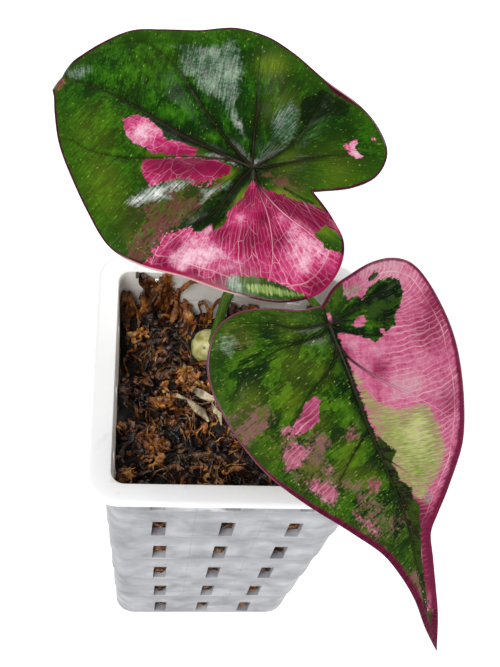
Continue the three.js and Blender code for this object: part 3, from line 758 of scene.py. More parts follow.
# The blades: each a thin arrow-shaped leaf on its petiole, quilted between its sunken main veins. Its green
# is broken by pink sectors, each with ragged edges that keep to the veins, and its margin is burgundy.
RIBS = 210
RIB_STEPS = 58
BLADE_THICKNESS = 0.7
WAVE_HEIGHT = 0.5
WAVE_PHASE = 34.2
RIB_SPACING = 4.4
FAR = 60.0
VEIN_SINK = 0.35
PILLOW = 0.45
PILLOW_DROP = 0.4 * PILLOW
VEIN_POINTS = 40
VEIN_TAPER = 0.75
SINK_FADE = 0.6
back_blade.update({
    "sinus": (-19.7, -0.3),
    "tip": (95, 0),
    "first_rib": 15,
    "right": [(-27.4, 3.4), (-34, 8), (-36.5, 15), (-35, 24), (-28, 31), (-15, 35.5), (0, 38), (13, 40.6),
              (24, 40.2), (36.6, 33.5), (48.9, 25.4), (57.3, 18.8), (64.7, 10.8), (69.2, 5.4), (72.5, 3.2),
              (80, 2.4), (88, 1.3)],
    "left": [(-28, -6.5), (-32.4, -14), (-31.5, -21.5), (-26, -26.5), (-16.2, -30.7), (-4.1, -33.7),
             (8.8, -37.2), (19, -39.1), (28.3, -37.8), (38, -31.5), (49.8, -27.6), (58.9, -23.4),
             (65.7, -15.6), (70.3, -7.5), (72.5, -3.8), (80, -2.6), (88, -1.2)],
    # each main vein's half width at the joint, then its course
    "veins": [
        (0.75, [(0, 0), (10, 1.1), (20, 1.5), (30, 0.75), (40, -0.6), (60, -1.75), (90, 0)]),
        (0.55, [(0, 0), (4.3, -1.1), (15.5, -5.5), (26.8, -11.7), (38, -17.7), (52, -21.3), (62, -17)]),
        (0.5, [(0, 0), (1.7, -2.5), (7.4, -15), (13, -24.9), (17, -33)]),
        (0.5, [(0, 0), (-2, -3), (-6.4, -9.3), (-8, -18), (-7.4, -28)]),
        (0.5, [(0, 0), (-6, -3), (-18, -12), (-24, -16), (-29, -19)]),
        (0.55, [(0, 0), (0.9, 4.5), (1.7, 17), (6.1, 24.6), (10, 34)]),
        (0.55, [(0, 0), (5.5, 1), (15.5, 5.8), (25.5, 10.8), (35.4, 15.2), (46.7, 17.3), (54, 16.5)]),
        (0.6, [(0, 0), (-4, 4), (-14, 8.7), (-26, 10.8), (-33, 12.5)]),
        (0.45, [(0, 0), (-4.5, 5), (-13.3, 13), (-19.5, 21.8), (-22, 29)]),
    ],
    "pink": [
        [(16.1, 2.9), (27.4, 4.8), (29.3, 2.9), (34.9, 1.1), (38.6, 1.7), (41.9, 4.8), (38.6, 8.3),
         (35.5, 9.8), (28, 10.1), (20.5, 7.6), (16.1, 5.8)],
        [(4.6, 5.4), (5.5, 3.3), (10.5, 3.6), (18, 7), (29.3, 13.3), (27, 17), (22.4, 19.8), (18, 14.8),
         (11.1, 12.6), (8, 10.8)],
        [(-2, 3.6), (-3, 10), (-1.7, 15.8), (-2.6, 20), (-1, 22.6), (0.8, 21), (2.7, 24.8), (5.5, 24.2),
         (9.3, 27.6), (12, 31), (11.5, 36), (13.6, 44), (0, 44), (-15, 38), (-12, 33.5), (-12.2, 31.4),
         (-18.3, 28.3), (-23.3, 27.3), (-36.5, 26), (-41, 18), (-38, 11), (-33.9, 11), (-30.8, 12),
         (-25.8, 10.1), (-27.6, 6.4), (-32, 6.3), (-32, 4), (-21.4, 2.9), (-17, 4.2), (-7, 5.1)],
        [(-27.3, -16.4), (-23.6, -14.9), (-20.4, -16.8), (-22.3, -20.8), (-23.3, -18), (-26, -16.8)],
        [(-27.5, -22.3), (-26.3, -21.9), (-26, -23.2), (-27.2, -23.4)],
    ],
    "lime": [
        [(-16.2, 32.2), (-19.8, 29.9), (-24.9, 28.2), (-29.2, 27.2), (-32.4, 26), (-29.2, 28.4),
         (-23.9, 31), (-19.2, 32.6)],
    ],
    # faint pink patches, painted glare where the lamps' reflections are painted as pale sectors, and
    # near-black sectors, the one along the midrib being painted shade
    "faint": [
        [(68, 0.6), (68.6, 3.2), (70.6, 2.6), (71.6, 0.6), (70, -0.6)],
    ],
    "silver": [
        [(42.1, -23.1), (38.8, -23.2), (36.1, -17.8), (33.1, -15.9), (30.1, -16.5), (27.7, -14.4),
         (24.8, -13.1), (20, -13.5), (16.7, -12.5), (13.6, -9.8), (9.8, -7.9), (6.1, -6.1), (7.8, -8.2),
         (11.2, -11.1), (13.7, -13), (14.8, -16.6), (16.2, -21), (18, -25.2), (21.3, -28.8), (24.4, -31.8),
         (27.7, -33.3), (29.1, -29), (37.2, -25.7)],
        [(0.9, -20.8), (0.4, -23), (-2.5, -21.3), (-4.5, -19.1), (-5.7, -16.4), (-6.3, -13.5),
         (-5.8, -10.6), (-4, -9.3), (-1, -10.4), (1.9, -13.5), (2.2, -15.6), (1.9, -18.2)],
        [(-10.6, 32.3), (-13.2, 30.6), (-16, 31.2), (-17.6, 33.5), (-16.1, 35.7), (-13.2, 35.8),
         (-11.1, 34.5)],
        [(26.2, 26.9), (24.3, 21.3), (19.5, 16.7), (14.4, 12.4), (11.3, 12.6), (13.3, 15.7), (17.5, 19.3),
         (14.2, 19.8), (19.3, 23), (23.8, 27)],
        [(10.3, 13.9), (6, 11.8), (2.7, 7.2), (2.4, 8.9), (5.2, 13.1), (6.1, 16.6), (7.3, 17.4),
         (7.3, 14.6)],
        [(15.6, 4.9), (14.1, 3.5), (10.6, 2), (6.2, 0.9), (3.1, 1.8), (3.8, 2.6), (6.7, 2.4), (10.6, 3.4),
         (14, 4.9)],
        [(70.4, -1.6), (67.9, -5.6), (63.9, -7.8), (61.3, -6.1), (63.3, -3.2), (65.5, -1.2)],
        [(2, -1.1), (2.3, -2.6), (1.1, -1.4), (-0.2, -3), (-0.9, -2.8), (-0.4, -0.4), (0.8, -0.4)],
    ],
    "dark": [
        [(-0.4, 0.8), (-1.4, 4.5), (-1.4, 16.4), (-2, 20), (-0.8, 22.6), (0.8, 20.8), (2.4, 24.5),
         (4.3, 25.8), (6.1, 23.3), (3, 15.8), (3.9, 10.8), (1.8, 2)],
        [(-15.8, -28.6), (-16.4, -24.9), (-12, -22.4), (-7.6, -17.4), (-5.1, -17.7), (-2, -24.9),
         (-5.1, -28), (-4.8, -30.5), (-12.6, -29.6)],
        [(34, -0.5), (34, 1), (29, 2.4), (27, 4.2), (20, 3), (10, 2.2), (6, 1.5), (10, 0.6), (22, 0.6)],
        [(-12, 2.2), (-22, 2.6), (-22, 3.6), (-12, 3.2)],
    ],
    # soft round zones: centre a, b, radius and strength
    # pale zones that fall inside the painted glare whiten it into painted white highlights, such as the row
    # from (15, 17) to (24, 25) and those by the joint
    "pale": [(34, 6, 4.5, 1), (-24.5, -17.5, 3.5, 1), (3.6, 34.1, 3.5, 1), (-3.9, 28.3, 3, 0.8),
             (24, 25, 2.6, 1), (19.5, 20.5, 2.6, 1), (15, 17, 2, 1), (6, 14, 2, 0.8), (10, 2.4, 1.6, 0.9),
             (5, 1.4, 1.5, 0.9), (0.8, -1.6, 1.6, 0.9), (10, -9, 2, 0.6), (24, 6, 2.5, 0.4),
             (1, 31, 6, 0.8), (-5.7, 16.2, 1.6, 0.7), (0.5, 23, 2, 0.6), (-11, 29, 3.5, 0.7),
             (-16.4, 10, 1.8, 0.6), (-22.7, 13.4, 5, 0.75), (-27.3, 18.8, 4, 0.7), (-30, 12.8, 3, 0.6)],
    "mottled": [(14.5, 21, 6, 1), (16.7, 29.3, 6, 1), (15, 36, 5, 1), (9, 14, 4.5, 0.9), (21, 26, 4, 0.9),
                (10, 20, 4, 0.6), (5.5, 11, 2.5, 0.6), (-5, 0.4, 2.5, 0.5), (-10, 0.8, 3, 0.7),
                (-15, 0.8, 3, 0.7), (-32.8, 25, 2, 0.8)],
    "bright": [(50, 12, 9, 0.35), (30, 30, 7, 0.3), (18, 33, 4, 0.7), (11.5, -31, 4.5, 0.9),
               (-15, 33, 7, 0.6), (-20, -10, 8, 0.2), (-8, -5, 4, 0.5), (44, -17, 10, 0.1),
               (38, 24, 8, 0.45), (2, -20, 6, 0.3), (-25, -6, 6, 0.4),
               # inside a pink sector the same strength deepens it to magenta
               (-3.8, 9.8, 4, 1), (-11.6, 20, 4, 0.9), (-18.5, 16.5, 3.5, 0.8), (-15.4, 5, 3.5, 1),
               (-26, 5.5, 4, 1), (-3.5, 22.6, 3, 0.8), (6.7, 31, 2.5, 0.7), (6.8, 38, 3, 1),
               (-2.2, 36.4, 2.5, 1), (-10, 35, 2.5, 0.8), (25, 12, 4, 0.8), (18, 10, 5, 1), (12, 6.5, 4, 1),
               (6, 5.5, 3, 1), (-35, 20, 4, 0.7), (-12.2, 5.8, 3, 1), (-18.2, 6.4, 3, 1),
               (-23.4, 5.7, 3, 1), (-28.2, 5.7, 3, 1), (-11.7, 12.8, 2.5, 1), (-33.5, 23.9, 3, 0.8),
               (70, 1.5, 2, 1)],
    # the burgundy border's width in millimetres at places a
    "border": {
        "right": [(-40, 0.8), (-14, 0.8), (-8, 1.5), (6, 1.7), (14, 1.1), (22, 0.6), (95, 0.8)],
        "left": [(-40, 0.6), (-18, 0.6), (-10, 2.4), (-3, 0.6), (60, 0.6), (66, 1.1), (95, 1.5)],
    },
    # where a pink or cream line runs along the margin: its side, from a, to a
    "pink_line": [("left", -18, -3), ("right", -20, 22)],
})
front_blade.update({
    "sinus": (-5.9, -0.4),
    "tip": (112, 1.2),
    "first_rib": 12,
    "right": [(-9.7, 5), (-11.2, 12), (-12, 20), (-10.6, 28), (-7, 33.3), (2, 37.6), (12.5, 39.5),
              (26.7, 37.8), (39, 35.2), (47.7, 31), (55.7, 24.9), (62.5, 18.5), (67.7, 12.9), (72, 9),
              (80, 7.4), (90, 5.8), (98, 4.6), (105, 3)],
    "left": [(-7.3, -7.7), (-10.9, -15.8), (-13.1, -25.7), (-10.7, -33.1), (-1.1, -39.7), (13.9, -40.1),
             (31, -35.4), (44, -28), (60.8, -15.7), (71.3, -8.6), (80, -5.1), (90.6, -2.3), (102, -1)],
    "veins": [
        (1.0, [(0, 0), (8.6, -0.3), (22.9, -0.9), (37, -0.3), (51.4, 1.1), (65.7, 2.2), (80, 1.1),
            (110, 1.4)]),
        (0.5, [(5, -0.2), (11.4, 1.5), (20.7, 8.3), (30.7, 18.3), (40, 26.1), (47, 28.5)]),
        (0.5, [(0, 0), (0.7, 1.9), (-0.4, 6.9), (-2.9, 18.3), (-4, 27)]),
        (0.35, [(0.7, 0.3), (4.3, 4), (8.6, 13.3), (11, 22), (14, 31)]),
        (0.55, [(5, -0.2), (8.2, -1.4), (12.1, -6), (16.1, -14.6), (25, -24.6), (33, -31)]),
        (0.45, [(0, 0), (2, -3), (1, -17), (3, -28), (9, -36)]),
        (0.4, [(0, 0), (-1.5, -7.5), (-3, -11.5), (-7, -18), (-10, -26)]),
        (0.3, [(33, -0.4), (38, -8), (47, -17.5), (55, -20)]),
        (0.3, [(42, 0.4), (52, 8), (60, 13), (64, 13)]),
    ],
    "pink": [
        [(-16, 0.4), (-9.5, 8), (-7.1, 7.2), (-4.9, 7.9), (-4.6, 11.1), (-2.9, 12), (-5.7, 16.1),
         (-6.2, 19.7), (-5.4, 24.7), (-3.9, 27.2), (0.4, 26.3), (3.6, 23.6), (4.6, 21.1), (7.9, 19.6),
         (8.2, 16.5), (7, 14), (9.6, 14.6), (10.4, 11.1), (6.4, 7.4), (3.6, 1.4), (12, 0.6), (30, 0.3),
         (44, 1.4), (56, 2.6), (74, 3), (84, 2.2), (96, 1.6), (100, 8), (60, 45), (0, 50), (-20, 30)],
        [(2.9, 6.1), (1.1, 9), (1.4, 10.8), (3.6, 11.1), (3.9, 8.3)],
        [(-3.2, 0.1), (-2.9, 1.1), (0.7, 1.3), (0.7, 0.4)],
        [(16.4, -12.8), (19.3, -12.4), (24.3, -14.6), (26.1, -18.9), (25, -24.6), (20.7, -19.6),
         (17.5, -15.3)],
    ],
    # faint pink patches, speckled with the green around them
    "faint": [
        [(22.1, -24.2), (24.3, -23.1), (24.6, -25.3), (23.2, -26.4)],
        [(27.1, -23.9), (31.4, -20.3), (33.9, -23.9), (35, -26.7), (33.9, -29.2), (29.3, -27.8)],
        [(39.3, -23.1), (42.9, -17.4), (46.4, -16.4), (50, -18.1), (47.9, -21), (42.1, -23.9)],
        [(47.1, -6), (47.9, -3.1), (49.6, -2.8), (51.4, -4.9), (49.3, -7.1)],
        [(31.4, -8.1), (32.9, -4.6), (33.9, -5.3), (33.2, -8.1)],
        [(54.3, -13.9), (60, -8.9), (64.3, -7.8), (65, -8.9), (60, -11)],
        [(38.6, -17.8), (37.9, -16), (40, -15.6), (40, -17.4)],
    ],
    "lime": [
        [(14, 0.3), (18, 2.2), (23.1, 3.2), (27.2, 5.6), (30.6, 9.2), (32.2, 14.5), (32.6, 18.4),
         (34.8, 21.4), (41.1, 22.8), (48, 22.6), (53, 20), (57, 16), (59.4, 11.8), (60.5, 8.5), (57.5, 5.5),
         (50.7, 2.6), (41.2, 1.6), (35.5, 1), (28.5, 0.7), (21.6, 0.4)],
    ],
    # painted glare: the lamps' reflections painted as pale sectors
    "silver": [
        [(-8.3, 7.8), (-7.6, 13.5), (-5.6, 14), (-5, 9.7), (-6.1, 6.6)],
        [(59.1, 10.7), (60.7, 13.1), (62.9, 11.4), (62.4, 8.5)],
        [(-6, -28), (-9, -32), (-6, -35), (-2, -32)],
    ],
    # near-black sectors; the one along the midrib and the one on the green lobe by the joint are painted
    # shade
    "dark": [
        [(35, 0.8), (39.3, 3.3), (42.9, 5.4), (45.7, 3.3), (51.4, 4), (55.7, 6.9), (59, 6.5), (62, 7.6),
         (68, 6.2), (78, 3.6), (92, 1.8), (100, 0), (66, 1.5), (45, 0.4)],
        [(-8.2, 16.1), (-9.3, 20), (-8, 21.3), (-6.9, 20), (-7.1, 16.8)],
        [(-2, 13.2), (-4.6, 17), (-5, 21), (-4, 25.8), (0.4, 25.6), (3.4, 22.6), (5, 20), (7.4, 17.4),
         (6.4, 14.6), (3, 11.6), (0, 12)],
    ],
    "pale": [(-8, 26, 7, 0.8), (8.2, 4, 2.5, 0.8), (12.2, 10, 2.5, 0.7), (25.8, 13.7, 5, 0.8),
             (33, 26, 4, 0.4), (21, 24, 3, 0.5), (41, 13.5, 4.5, 0.9), (-11, 17, 4, 0.6), (33, 30, 4, 0.4),
             (16, 3.5, 3, 0.5), (27, 19, 3.5, 0.8)],
    "mottled": [(17, -35, 5, 0.9), (19.7, -40, 4, 0.8), (30, -16, 3.5, 0.7), (31, -6.7, 3, 0.6),
                (36.8, -22, 6, 0.8), (26, -25, 4, 0.8), (45, -14, 5, 0.4), (50, -8, 5, 0.35),
                (58, -10, 6, 0.4), (64, -2, 8, 0.4), (84, -1, 5, 0.7), (94, 0, 6, 0.9), (-6, -28, 5, 0.5),
                (16.4, -30, 3.5, 0.6)],
    "bright": [(-7.5, -28.5, 5, 0.5), (11, -31.5, 4, 0.7), (15.5, -20.6, 4.5, 0.7), (12, -9.4, 3.5, 0.7),
               (-4.4, -12.3, 4, 0.5), (15, -37.5, 4, 0.6), (36, -8.6, 4, 0.6), (41, -12, 4, 0.7),
               (19, -34.6, 4, 0.8), (6, -16, 5, 0.5), (24, -16, 5, 0.5), (47, -6, 4, 0.5),
               (28, -31, 4, 0.5), (14, 31, 6, 0.6), (18, 9.4, 3, 0.6), (36, 29.6, 5, 0.6), (7, 38, 5, 0.8),
               (9, 1, 2, 0.8), (66.2, 7.3, 4, 1), (72.3, 6.9, 4, 1), (79, 5.9, 5, 1), (61.2, 6, 3, 0.8),
               (87, 5, 5, 1)],
    "border": {
        "right": [(-12, 0.9), (0, 1.2), (30, 2.2), (50, 2.8), (68, 2.8), (80, 2.4), (112, 2.5)],
        "left": [(-12, 0.5), (25, 0.6), (35, 1.1), (60, 1.9), (80, 2.2), (112, 2)],
    },
    "pink_line": [("left", -20, 40)],
})


def rib_grid(blade, side):
    """For the ribs of one side: their ends on the margin, their roots on the midrib, the margin's length up
    to each, and the mean of both sides' places along the blade."""
    edges = {}
    for name in ("right", "left"):
        edges[name] = smooth_through([blade["sinus"], *blade[name], blade["tip"]], RIBS)
    mean = (edges["right"][:, 0] + edges["left"][:, 0]) / 2
    length = blade["tip"][0]
    root_a = np.maximum(mean - blade["first_rib"], 0) * length / (length - blade["first_rib"])
    roots = np.stack([root_a, midrib_offset(blade, root_a)], 1)
    step = np.linalg.norm(np.diff(edges[side], axis=0), axis=1)
    return edges[side], roots, np.concatenate([[0], np.cumsum(step)]), mean


def distance_to(points, line):
    """Distance of each point to the line through a row of points, and the share of the line it is beside."""
    best = np.full(len(points), 1e9)
    beside = np.zeros(len(points))
    for i, (start, end) in enumerate(zip(line, line[1:])):
        run = end - start
        t = np.clip(((points - start) @ run) / (run @ run), 0, 1)
        away = np.linalg.norm(points - start - t[:, None] * run, axis=1)
        nearer = away < best
        best = np.where(nearer, away, best)
        beside = np.where(nearer, (i + t) / (len(line) - 1), beside)
    return best, beside


def depth_inside(points, outlines):
    """How far inside the nearest of the closed outlines each point lies, negative outside."""
    depth = np.full(len(points), -30.0)
    for outline in outlines:
        corners = np.array([*outline, outline[0]], float)
        away, _ = distance_to(points, corners)
        inside = np.zeros(len(points), bool)
        for (x0, y0), (x1, y1) in zip(corners, corners[1:]):
            if y0 != y1:
                cross = x0 + (points[:, 1] - y0) / (y1 - y0) * (x1 - x0)
                inside ^= ((y0 > points[:, 1]) != (y1 > points[:, 1])) & (points[:, 0] < cross)
        depth = np.maximum(depth, np.where(inside, away, -away))
    return depth


def soft_zones(points, zones):
    """The combined strength at each point of soft round zones."""
    strength = np.zeros(len(points))
    for a, b, radius, amount in zones:
        strength += amount * np.exp(-((points[:, 0] - a) ** 2 + (points[:, 1] - b) ** 2) / radius**2)
    return np.clip(strength, 0, 1)


def store(mesh, name, *columns):
    """Keeps one value or three on each of the mesh's points, as a named attribute."""
    kind, field = ("FLOAT_VECTOR", "vector") if len(columns) == 3 else ("FLOAT", "value")
    mesh.attributes.new(name, kind, "POINT").data.foreach_set(field, np.stack(columns, 1).ravel())


def make_blade(name, blade):
    """A blade's sheet: a grid laid out along its ribs, merged where they meet and formed. Its points keep
    what the skin is drawn from: their place, the ribs, and their distance from veins, sectors and margin."""
    grid = bmesh.new()
    bmesh.ops.create_grid(grid, x_segments=2 * RIB_STEPS, y_segments=RIBS, size=1)
    sheet_layer = grid.verts.layers.float_vector.new("sheet")
    flow_layer = grid.verts.layers.float_vector.new("flow")
    layout = {side: rib_grid(blade, side) for side in ("right", "left")}
    for v in grid.verts:
        edge, roots, arc, mean = layout["right" if v.co.x > 0 else "left"]
        rib = round((v.co.y + 1) / 2 * RIBS)
        t = abs(v.co.x)
        a, b = roots[rib] + (edge[rib] - roots[rib]) * t
        along = math.dist(edge[rib], roots[rib]) * t
        # The margin waves on the broad half of the blade only, and not at its sinus.
        calm = min(max((blade["tip"][0] / 2 + 6 - mean[rib]) / 12, 0), 1) * min(rib / 12, 1)
        wave = WAVE_HEIGHT * calm * math.sin(WAVE_PHASE * rib / RIBS) * t**4
        v[sheet_layer] = (a, b, wave)
        v[flow_layer] = (arc[rib] if v.co.x > 0 else -arc[rib], along, t)
        v.co = (a, b, 0)
    bmesh.ops.remove_doubles(grid, verts=grid.verts, dist=0.02)
    bmesh.ops.recalc_face_normals(grid, faces=grid.faces)
    piece = new_object(name, grid)
    mesh = piece.data
    count = len(mesh.vertices)
    sheet, flow = np.zeros((count, 3)), np.zeros((count, 3))
    mesh.attributes["sheet"].data.foreach_get("vector", sheet.ravel())
    mesh.attributes["flow"].data.foreach_get("vector", flow.ravel())
    points = sheet[:, :2].copy()

    # Main veins by their signed distance, whose sign changes at every vein, so that each stays a crisp line.
    radius = np.linalg.norm(points, axis=1)
    bearing = np.arctan2(points[:, 1], points[:, 0])
    courses = [(half_width, smooth_through(course, VEIN_POINTS)) for half_width, course in blade["veins"]]
    bearings = []
    for _, line in courses:
        reach = np.linalg.norm(line, axis=1)
        bearings.append(np.interp(radius, reach, np.unwrap(np.arctan2(line[:, 1], line[:, 0] + 1e-9))))
    mid_away, mid_run = distance_to(points, courses[0][1])
    mid_side = np.sign(bearing - bearings[0])
    midrib = mid_side * mid_away / (courses[0][0] * (1 - VEIN_TAPER * mid_run))
    vein = np.full(count, FAR)
    nearest = np.full(count, FAR)
    vein_run = np.zeros(count)
    sink = (1 - SINK_FADE * mid_run) * np.exp(-(mid_away / 1.2) ** 2)
    parity = np.ones(count)
    for (half_width, line), vein_bearing in zip(courses[1:], bearings[1:]):
        away, beside = distance_to(points, line)
        width = half_width * (1 - VEIN_TAPER * beside)
        side = math.copysign(1, line[-1, 1] - midrib_offset(blade, line[-1, 0]))
        same_side = mid_side == side
        parity = np.where(same_side & (side * (bearing - vein_bearing) > 0), -parity, parity)
        nearer = same_side & (away / width < vein)
        vein_run = np.where(nearer, beside, vein_run)
        vein = np.where(nearer, away / width, vein)
        nearest = np.where(same_side, np.minimum(nearest, away), nearest)
        sink = np.maximum(sink, (1 - SINK_FADE * beside) * np.exp(-(away / 1.1) ** 2))
    vein_run = np.where(mid_away < nearest, mid_run, vein_run)
    vein *= parity
    away = {side: distance_to(points, layout[side][0])[0] for side in layout}
    edge_distance = np.minimum(away["right"], away["left"])
    widths = {}
    for side in layout:
        stops, sizes = np.array(blade["border"][side]).T
        widths[side] = np.interp(points[:, 0], stops, sizes)
    border = np.minimum(away["right"] / widths["right"], away["left"] / widths["left"])
    pink_line = np.zeros(count)
    for side, low, high in blade["pink_line"]:
        on_side = (away[side] < 6) & ((flow[:, 0] < 0) == (side == "left"))
        fade = np.clip((points[:, 0] - low) / 4, 0, 1) * np.clip((high - points[:, 0]) / 6, 0, 1)
        pink_line += on_side * fade

    # The sheet sinks at its veins and swells between them, with finer waves from rib to rib.
    between = np.minimum(nearest, mid_away)
    pillow = PILLOW * (1 - np.exp(-((between / 5) ** 2))) * np.clip(edge_distance / 9, 0, 1)
    ribbing = 0.03 * np.sin(flow[:, 0] * 2 * math.pi / RIB_SPACING) * np.clip(flow[:, 2] * 2 - 0.5, 0, 1)
    quilt = 0.17 * np.array([noise.noise(Vector((a / 7, b / 7, 3))) for a, b in points])
    quilt += 0.05 * np.array([noise.noise(Vector((a / 2.6, b / 2.6, 8))) for a, b in points])
    quilt = (quilt + ribbing) * np.clip(edge_distance / 5, 0, 1)
    lift = sheet[:, 2] - VEIN_SINK * sink + quilt + pillow - PILLOW_DROP
    mesh.vertices.foreach_set("co", (off_sheet(blade, points[:, 0], points[:, 1], lift) * MM).ravel())
    depths = {zone: depth_inside(points, blade[zone]) for zone in ("pink", "lime", "dark", "silver", "faint")}
    store(mesh, "vein", vein, vein_run, midrib)
    store(mesh, "zones", depths["pink"], depths["lime"], depths["dark"])
    store(mesh, "silver", depths["silver"])
    store(mesh, "faint", depths["faint"])
    store(mesh, "tints", *(soft_zones(points, blade[tint]) for tint in ("pale", "mottled", "bright")))
    store(mesh, "border", border, pink_line, edge_distance)
    mesh.update()
    up = Vector(blade["up"])
    if sum(polygon.normal.dot(up) for polygon in mesh.polygons) < 0:
        mesh.flip_normals()
    mesh.polygons.foreach_set("use_smooth", [True] * len(mesh.polygons))
    return piece


def blade_skin(name, blade, underside):
    """A variegated leaf's skin: waxy and deeply coloured above, matte, paler and greyer below."""
    tones = {key: linear(value) for key, value in blade["lower_tones" if underside else "tones"].items()}
    made, add, shader = new_material(name)
    read = {key: add("Attribute", attribute_name=key).node.outputs
            for key in ("sheet", "flow", "vein", "zones", "tints", "border", "silver", "faint")}
    sheet, flow = read["sheet"]["Vector"], read["flow"]["Vector"]
    painted_glare_depth, faint_depth = read["silver"]["Fac"], read["faint"]["Fac"]
    down_blade, _, _ = add("SeparateXYZ", sheet).node.outputs
    arc, _, rib_share = add("SeparateXYZ", flow).node.outputs
    side_vein, vein_run, midrib = add("SeparateXYZ", read["vein"]["Vector"]).node.outputs
    pink_depth, lime_depth, dark_depth = add("SeparateXYZ", read["zones"]["Vector"]).node.outputs
    pale, mottled, bright = add("SeparateXYZ", read["tints"]["Vector"]).node.outputs
    border_share, pink_line, edge = add("SeparateXYZ", read["border"]["Vector"]).node.outputs
    off_vein = add("Math MINIMUM", add("Math ABSOLUTE", side_vein), add("Math ABSOLUTE", midrib))

    # Leaf tissue in five grains: clouds of 9 mm, blotches of 2.4 mm, grains of 0.8 mm, and streaks and dashes
    # along the ribs. Cells fray the sectors' edges as the fine veins do. What follows the ribs is laid out
    # by its millimetres across the ribs and along them.
    ribbed = {}
    for key, across, length in (("streak", 0.6, 7), ("dash", 0.5, 2.2), ("cell", 0.9, 1.7), ("tile", 3, 6),
                                ("net", *blade["net_size"])):
        ribbed[key] = add("VectorMath MULTIPLY", flow, (1 / across, 1 / length, 0))
    cloud = add("TexNoise", sheet, 1 / 9, 3)
    blotch = add("TexNoise", sheet, 1 / 2.4, 5, 0.62)
    grain = add("TexNoise", sheet, 1 / 0.8, 2)
    streak = add("TexNoise", ribbed["streak"], 1, 4, 0.6)
    dash = add("TexNoise", ribbed["dash"], 1, 1)
    cells = add("TexVoronoi", ribbed["cell"], 1, voronoi_dimensions="2D")
    cell = add("SeparateColor", cells.node.outputs["Color"])
    ragged = -1.9
    for part, weight in ((cell, 0.6), (blotch, 2), (streak, 1.2)):
        ragged = add("Math MULTIPLY_ADD", part, weight, ragged)

    # Larger patches of cells, 3 mm by 6 mm and bent, each of its own depth of green.
    tiled = add("VectorMath MULTIPLY_ADD", blotch.node.outputs["Color"], (0.9, 0.7, 0), ribbed["tile"])
    tiles = add("TexVoronoi", tiled, 1, voronoi_dimensions="2D")
    tile = add("SeparateColor", tiles.node.outputs["Color"])

    # The fine net: smoothly bent cells of veinlets, side veins that swing forward, and the collecting vein.
    bend = add("TexNoise", sheet, 1 / 5, 1)
    bent = add("VectorMath MULTIPLY_ADD", bend.node.outputs["Color"], (0.8, 0.6, 0), ribbed["net"])
    net = add("TexVoronoi", bent, 1, feature="DISTANCE_TO_EDGE", voronoi_dimensions="2D")
    netted = add("MapRange", net, 0.006, 0.026, blade["net_strength"], 0)
    swung = add("Math MULTIPLY_ADD", add("Math POWER", rib_share, 4), 6, arc)
    wander = add("Math MULTIPLY_ADD", bend, blade["wander"], swung)
    side_line = add("Math PINGPONG", wander, blade["side_vein_spacing"] / 2)
    fine_line = add("Math PINGPONG", wander, blade["side_vein_spacing"] / 8)
    side_veined = add("Math MAXIMUM", add("MapRange", side_line, 0.04, 0.2, 0.78, 0),
                      add("MapRange", fine_line, 0.08, 0.3, blade["fine_strength"], 0))
    side_veined = add("Math MULTIPLY", side_veined, add("MapRange", rib_share, 0.15, 0.5))
    collecting = add("Math SUBTRACT", add("Math MULTIPLY_ADD", cloud, 2.4, edge), 5.4)
    collecting = add("MapRange", add("Math ABSOLUTE", collecting), 0.08, 0.26, 0.75, 0)
    veinlets = add("Math MAXIMUM", add("Math MAXIMUM", netted, side_veined), collecting)
    veinlets = add("Math MULTIPLY", veinlets, add("MapRange", cloud, 0.36, 0.58, 0.25))

    # Green tissue: from bluish shade through deep and mid green to light, in clouds, blotches and streaks,
    # yellower in bright zones, olive towards the margin, flecked and specked, with painted shade along the
    # main veins near the joint.
    tone = cloud
    for part, weight in ((streak, 0.6), (blotch, 0.8), (grain, 0.34), (dash, 0.3), (tile, blade["mosaic"])):
        tone = add("Math MULTIPLY_ADD", part, weight, tone)
    # Painted shade: the green darkens from 38 mm along the blade to 10 mm, over the joint and the lobes, by
    # an amount set for each blade.
    tone = add("Math SUBTRACT", tone, add("MapRange", down_blade, 38, 10, 0, blade["deepening"]))
    tone = add("Math SUBTRACT", tone, 0.42 + blade["mosaic"] / 2)
    to_mid = add("MapRange", tone, 1, 1.14)
    to_shade = add("MapRange", tone, 0.86, 1.04, 0.75, 0)
    near_joint = add("MapRange", vein_run, 0.1, 0.8, 1, 0.3)
    fleck = add("MapRange", dash, blade["fleck_from"], 0.8, 0, 0.65)
    speck = add("MapRange", grain, 0.68, 0.76, 0, 0.6)
    green = tones["deep"]
    for share, key in ((to_mid, "mid"),
                       (add("MapRange", tone, 1.12, 1.4), "light"),
                       (to_shade, "shade"),
                       (add("Math MULTIPLY", add("Math MULTIPLY", bright, streak), 1.1), "yellow"),
                       (add("MapRange", edge, 0, 8, 0.65, 0), "rim"),
                       (add("Math MULTIPLY", veinlets, 0.35), "shade"),
                       (add("Math MULTIPLY", add("MapRange", off_vein, 1, 6, 0.85, 0), near_joint), "dark"),
                       (fleck, "fleck"), (speck, "fleck")):
        green = add("Mix RGBA", share, green, tones[key])

    # Mottled tissue: olive and dusky pink cells mixed, with olive veinlets, where a sector fades out.
    picked = add("Math MULTIPLY_ADD", streak, 0.7, add("Math MULTIPLY_ADD", cell, 0.25, cloud))
    dusky = tones["olive"]
    for share, key in ((add("MapRange", picked, 0.84, 1.06), "dusky"), (to_shade, "dark_high"),
                       (add("Math MULTIPLY", veinlets, 0.4), "lime"), (speck, "fleck")):
        dusky = add("Mix RGBA", share, dusky, tones[key])
    strewn = blotch
    for part, weight in ((mottled, 0.8), (grain, 0.6), (streak, 0.5)):
        strewn = add("Math MULTIPLY_ADD", part, weight, strewn)
    colour = add("Mix RGBA", add("MapRange", strewn, 1.3, 1.6, 0, 0.9), green, dusky)

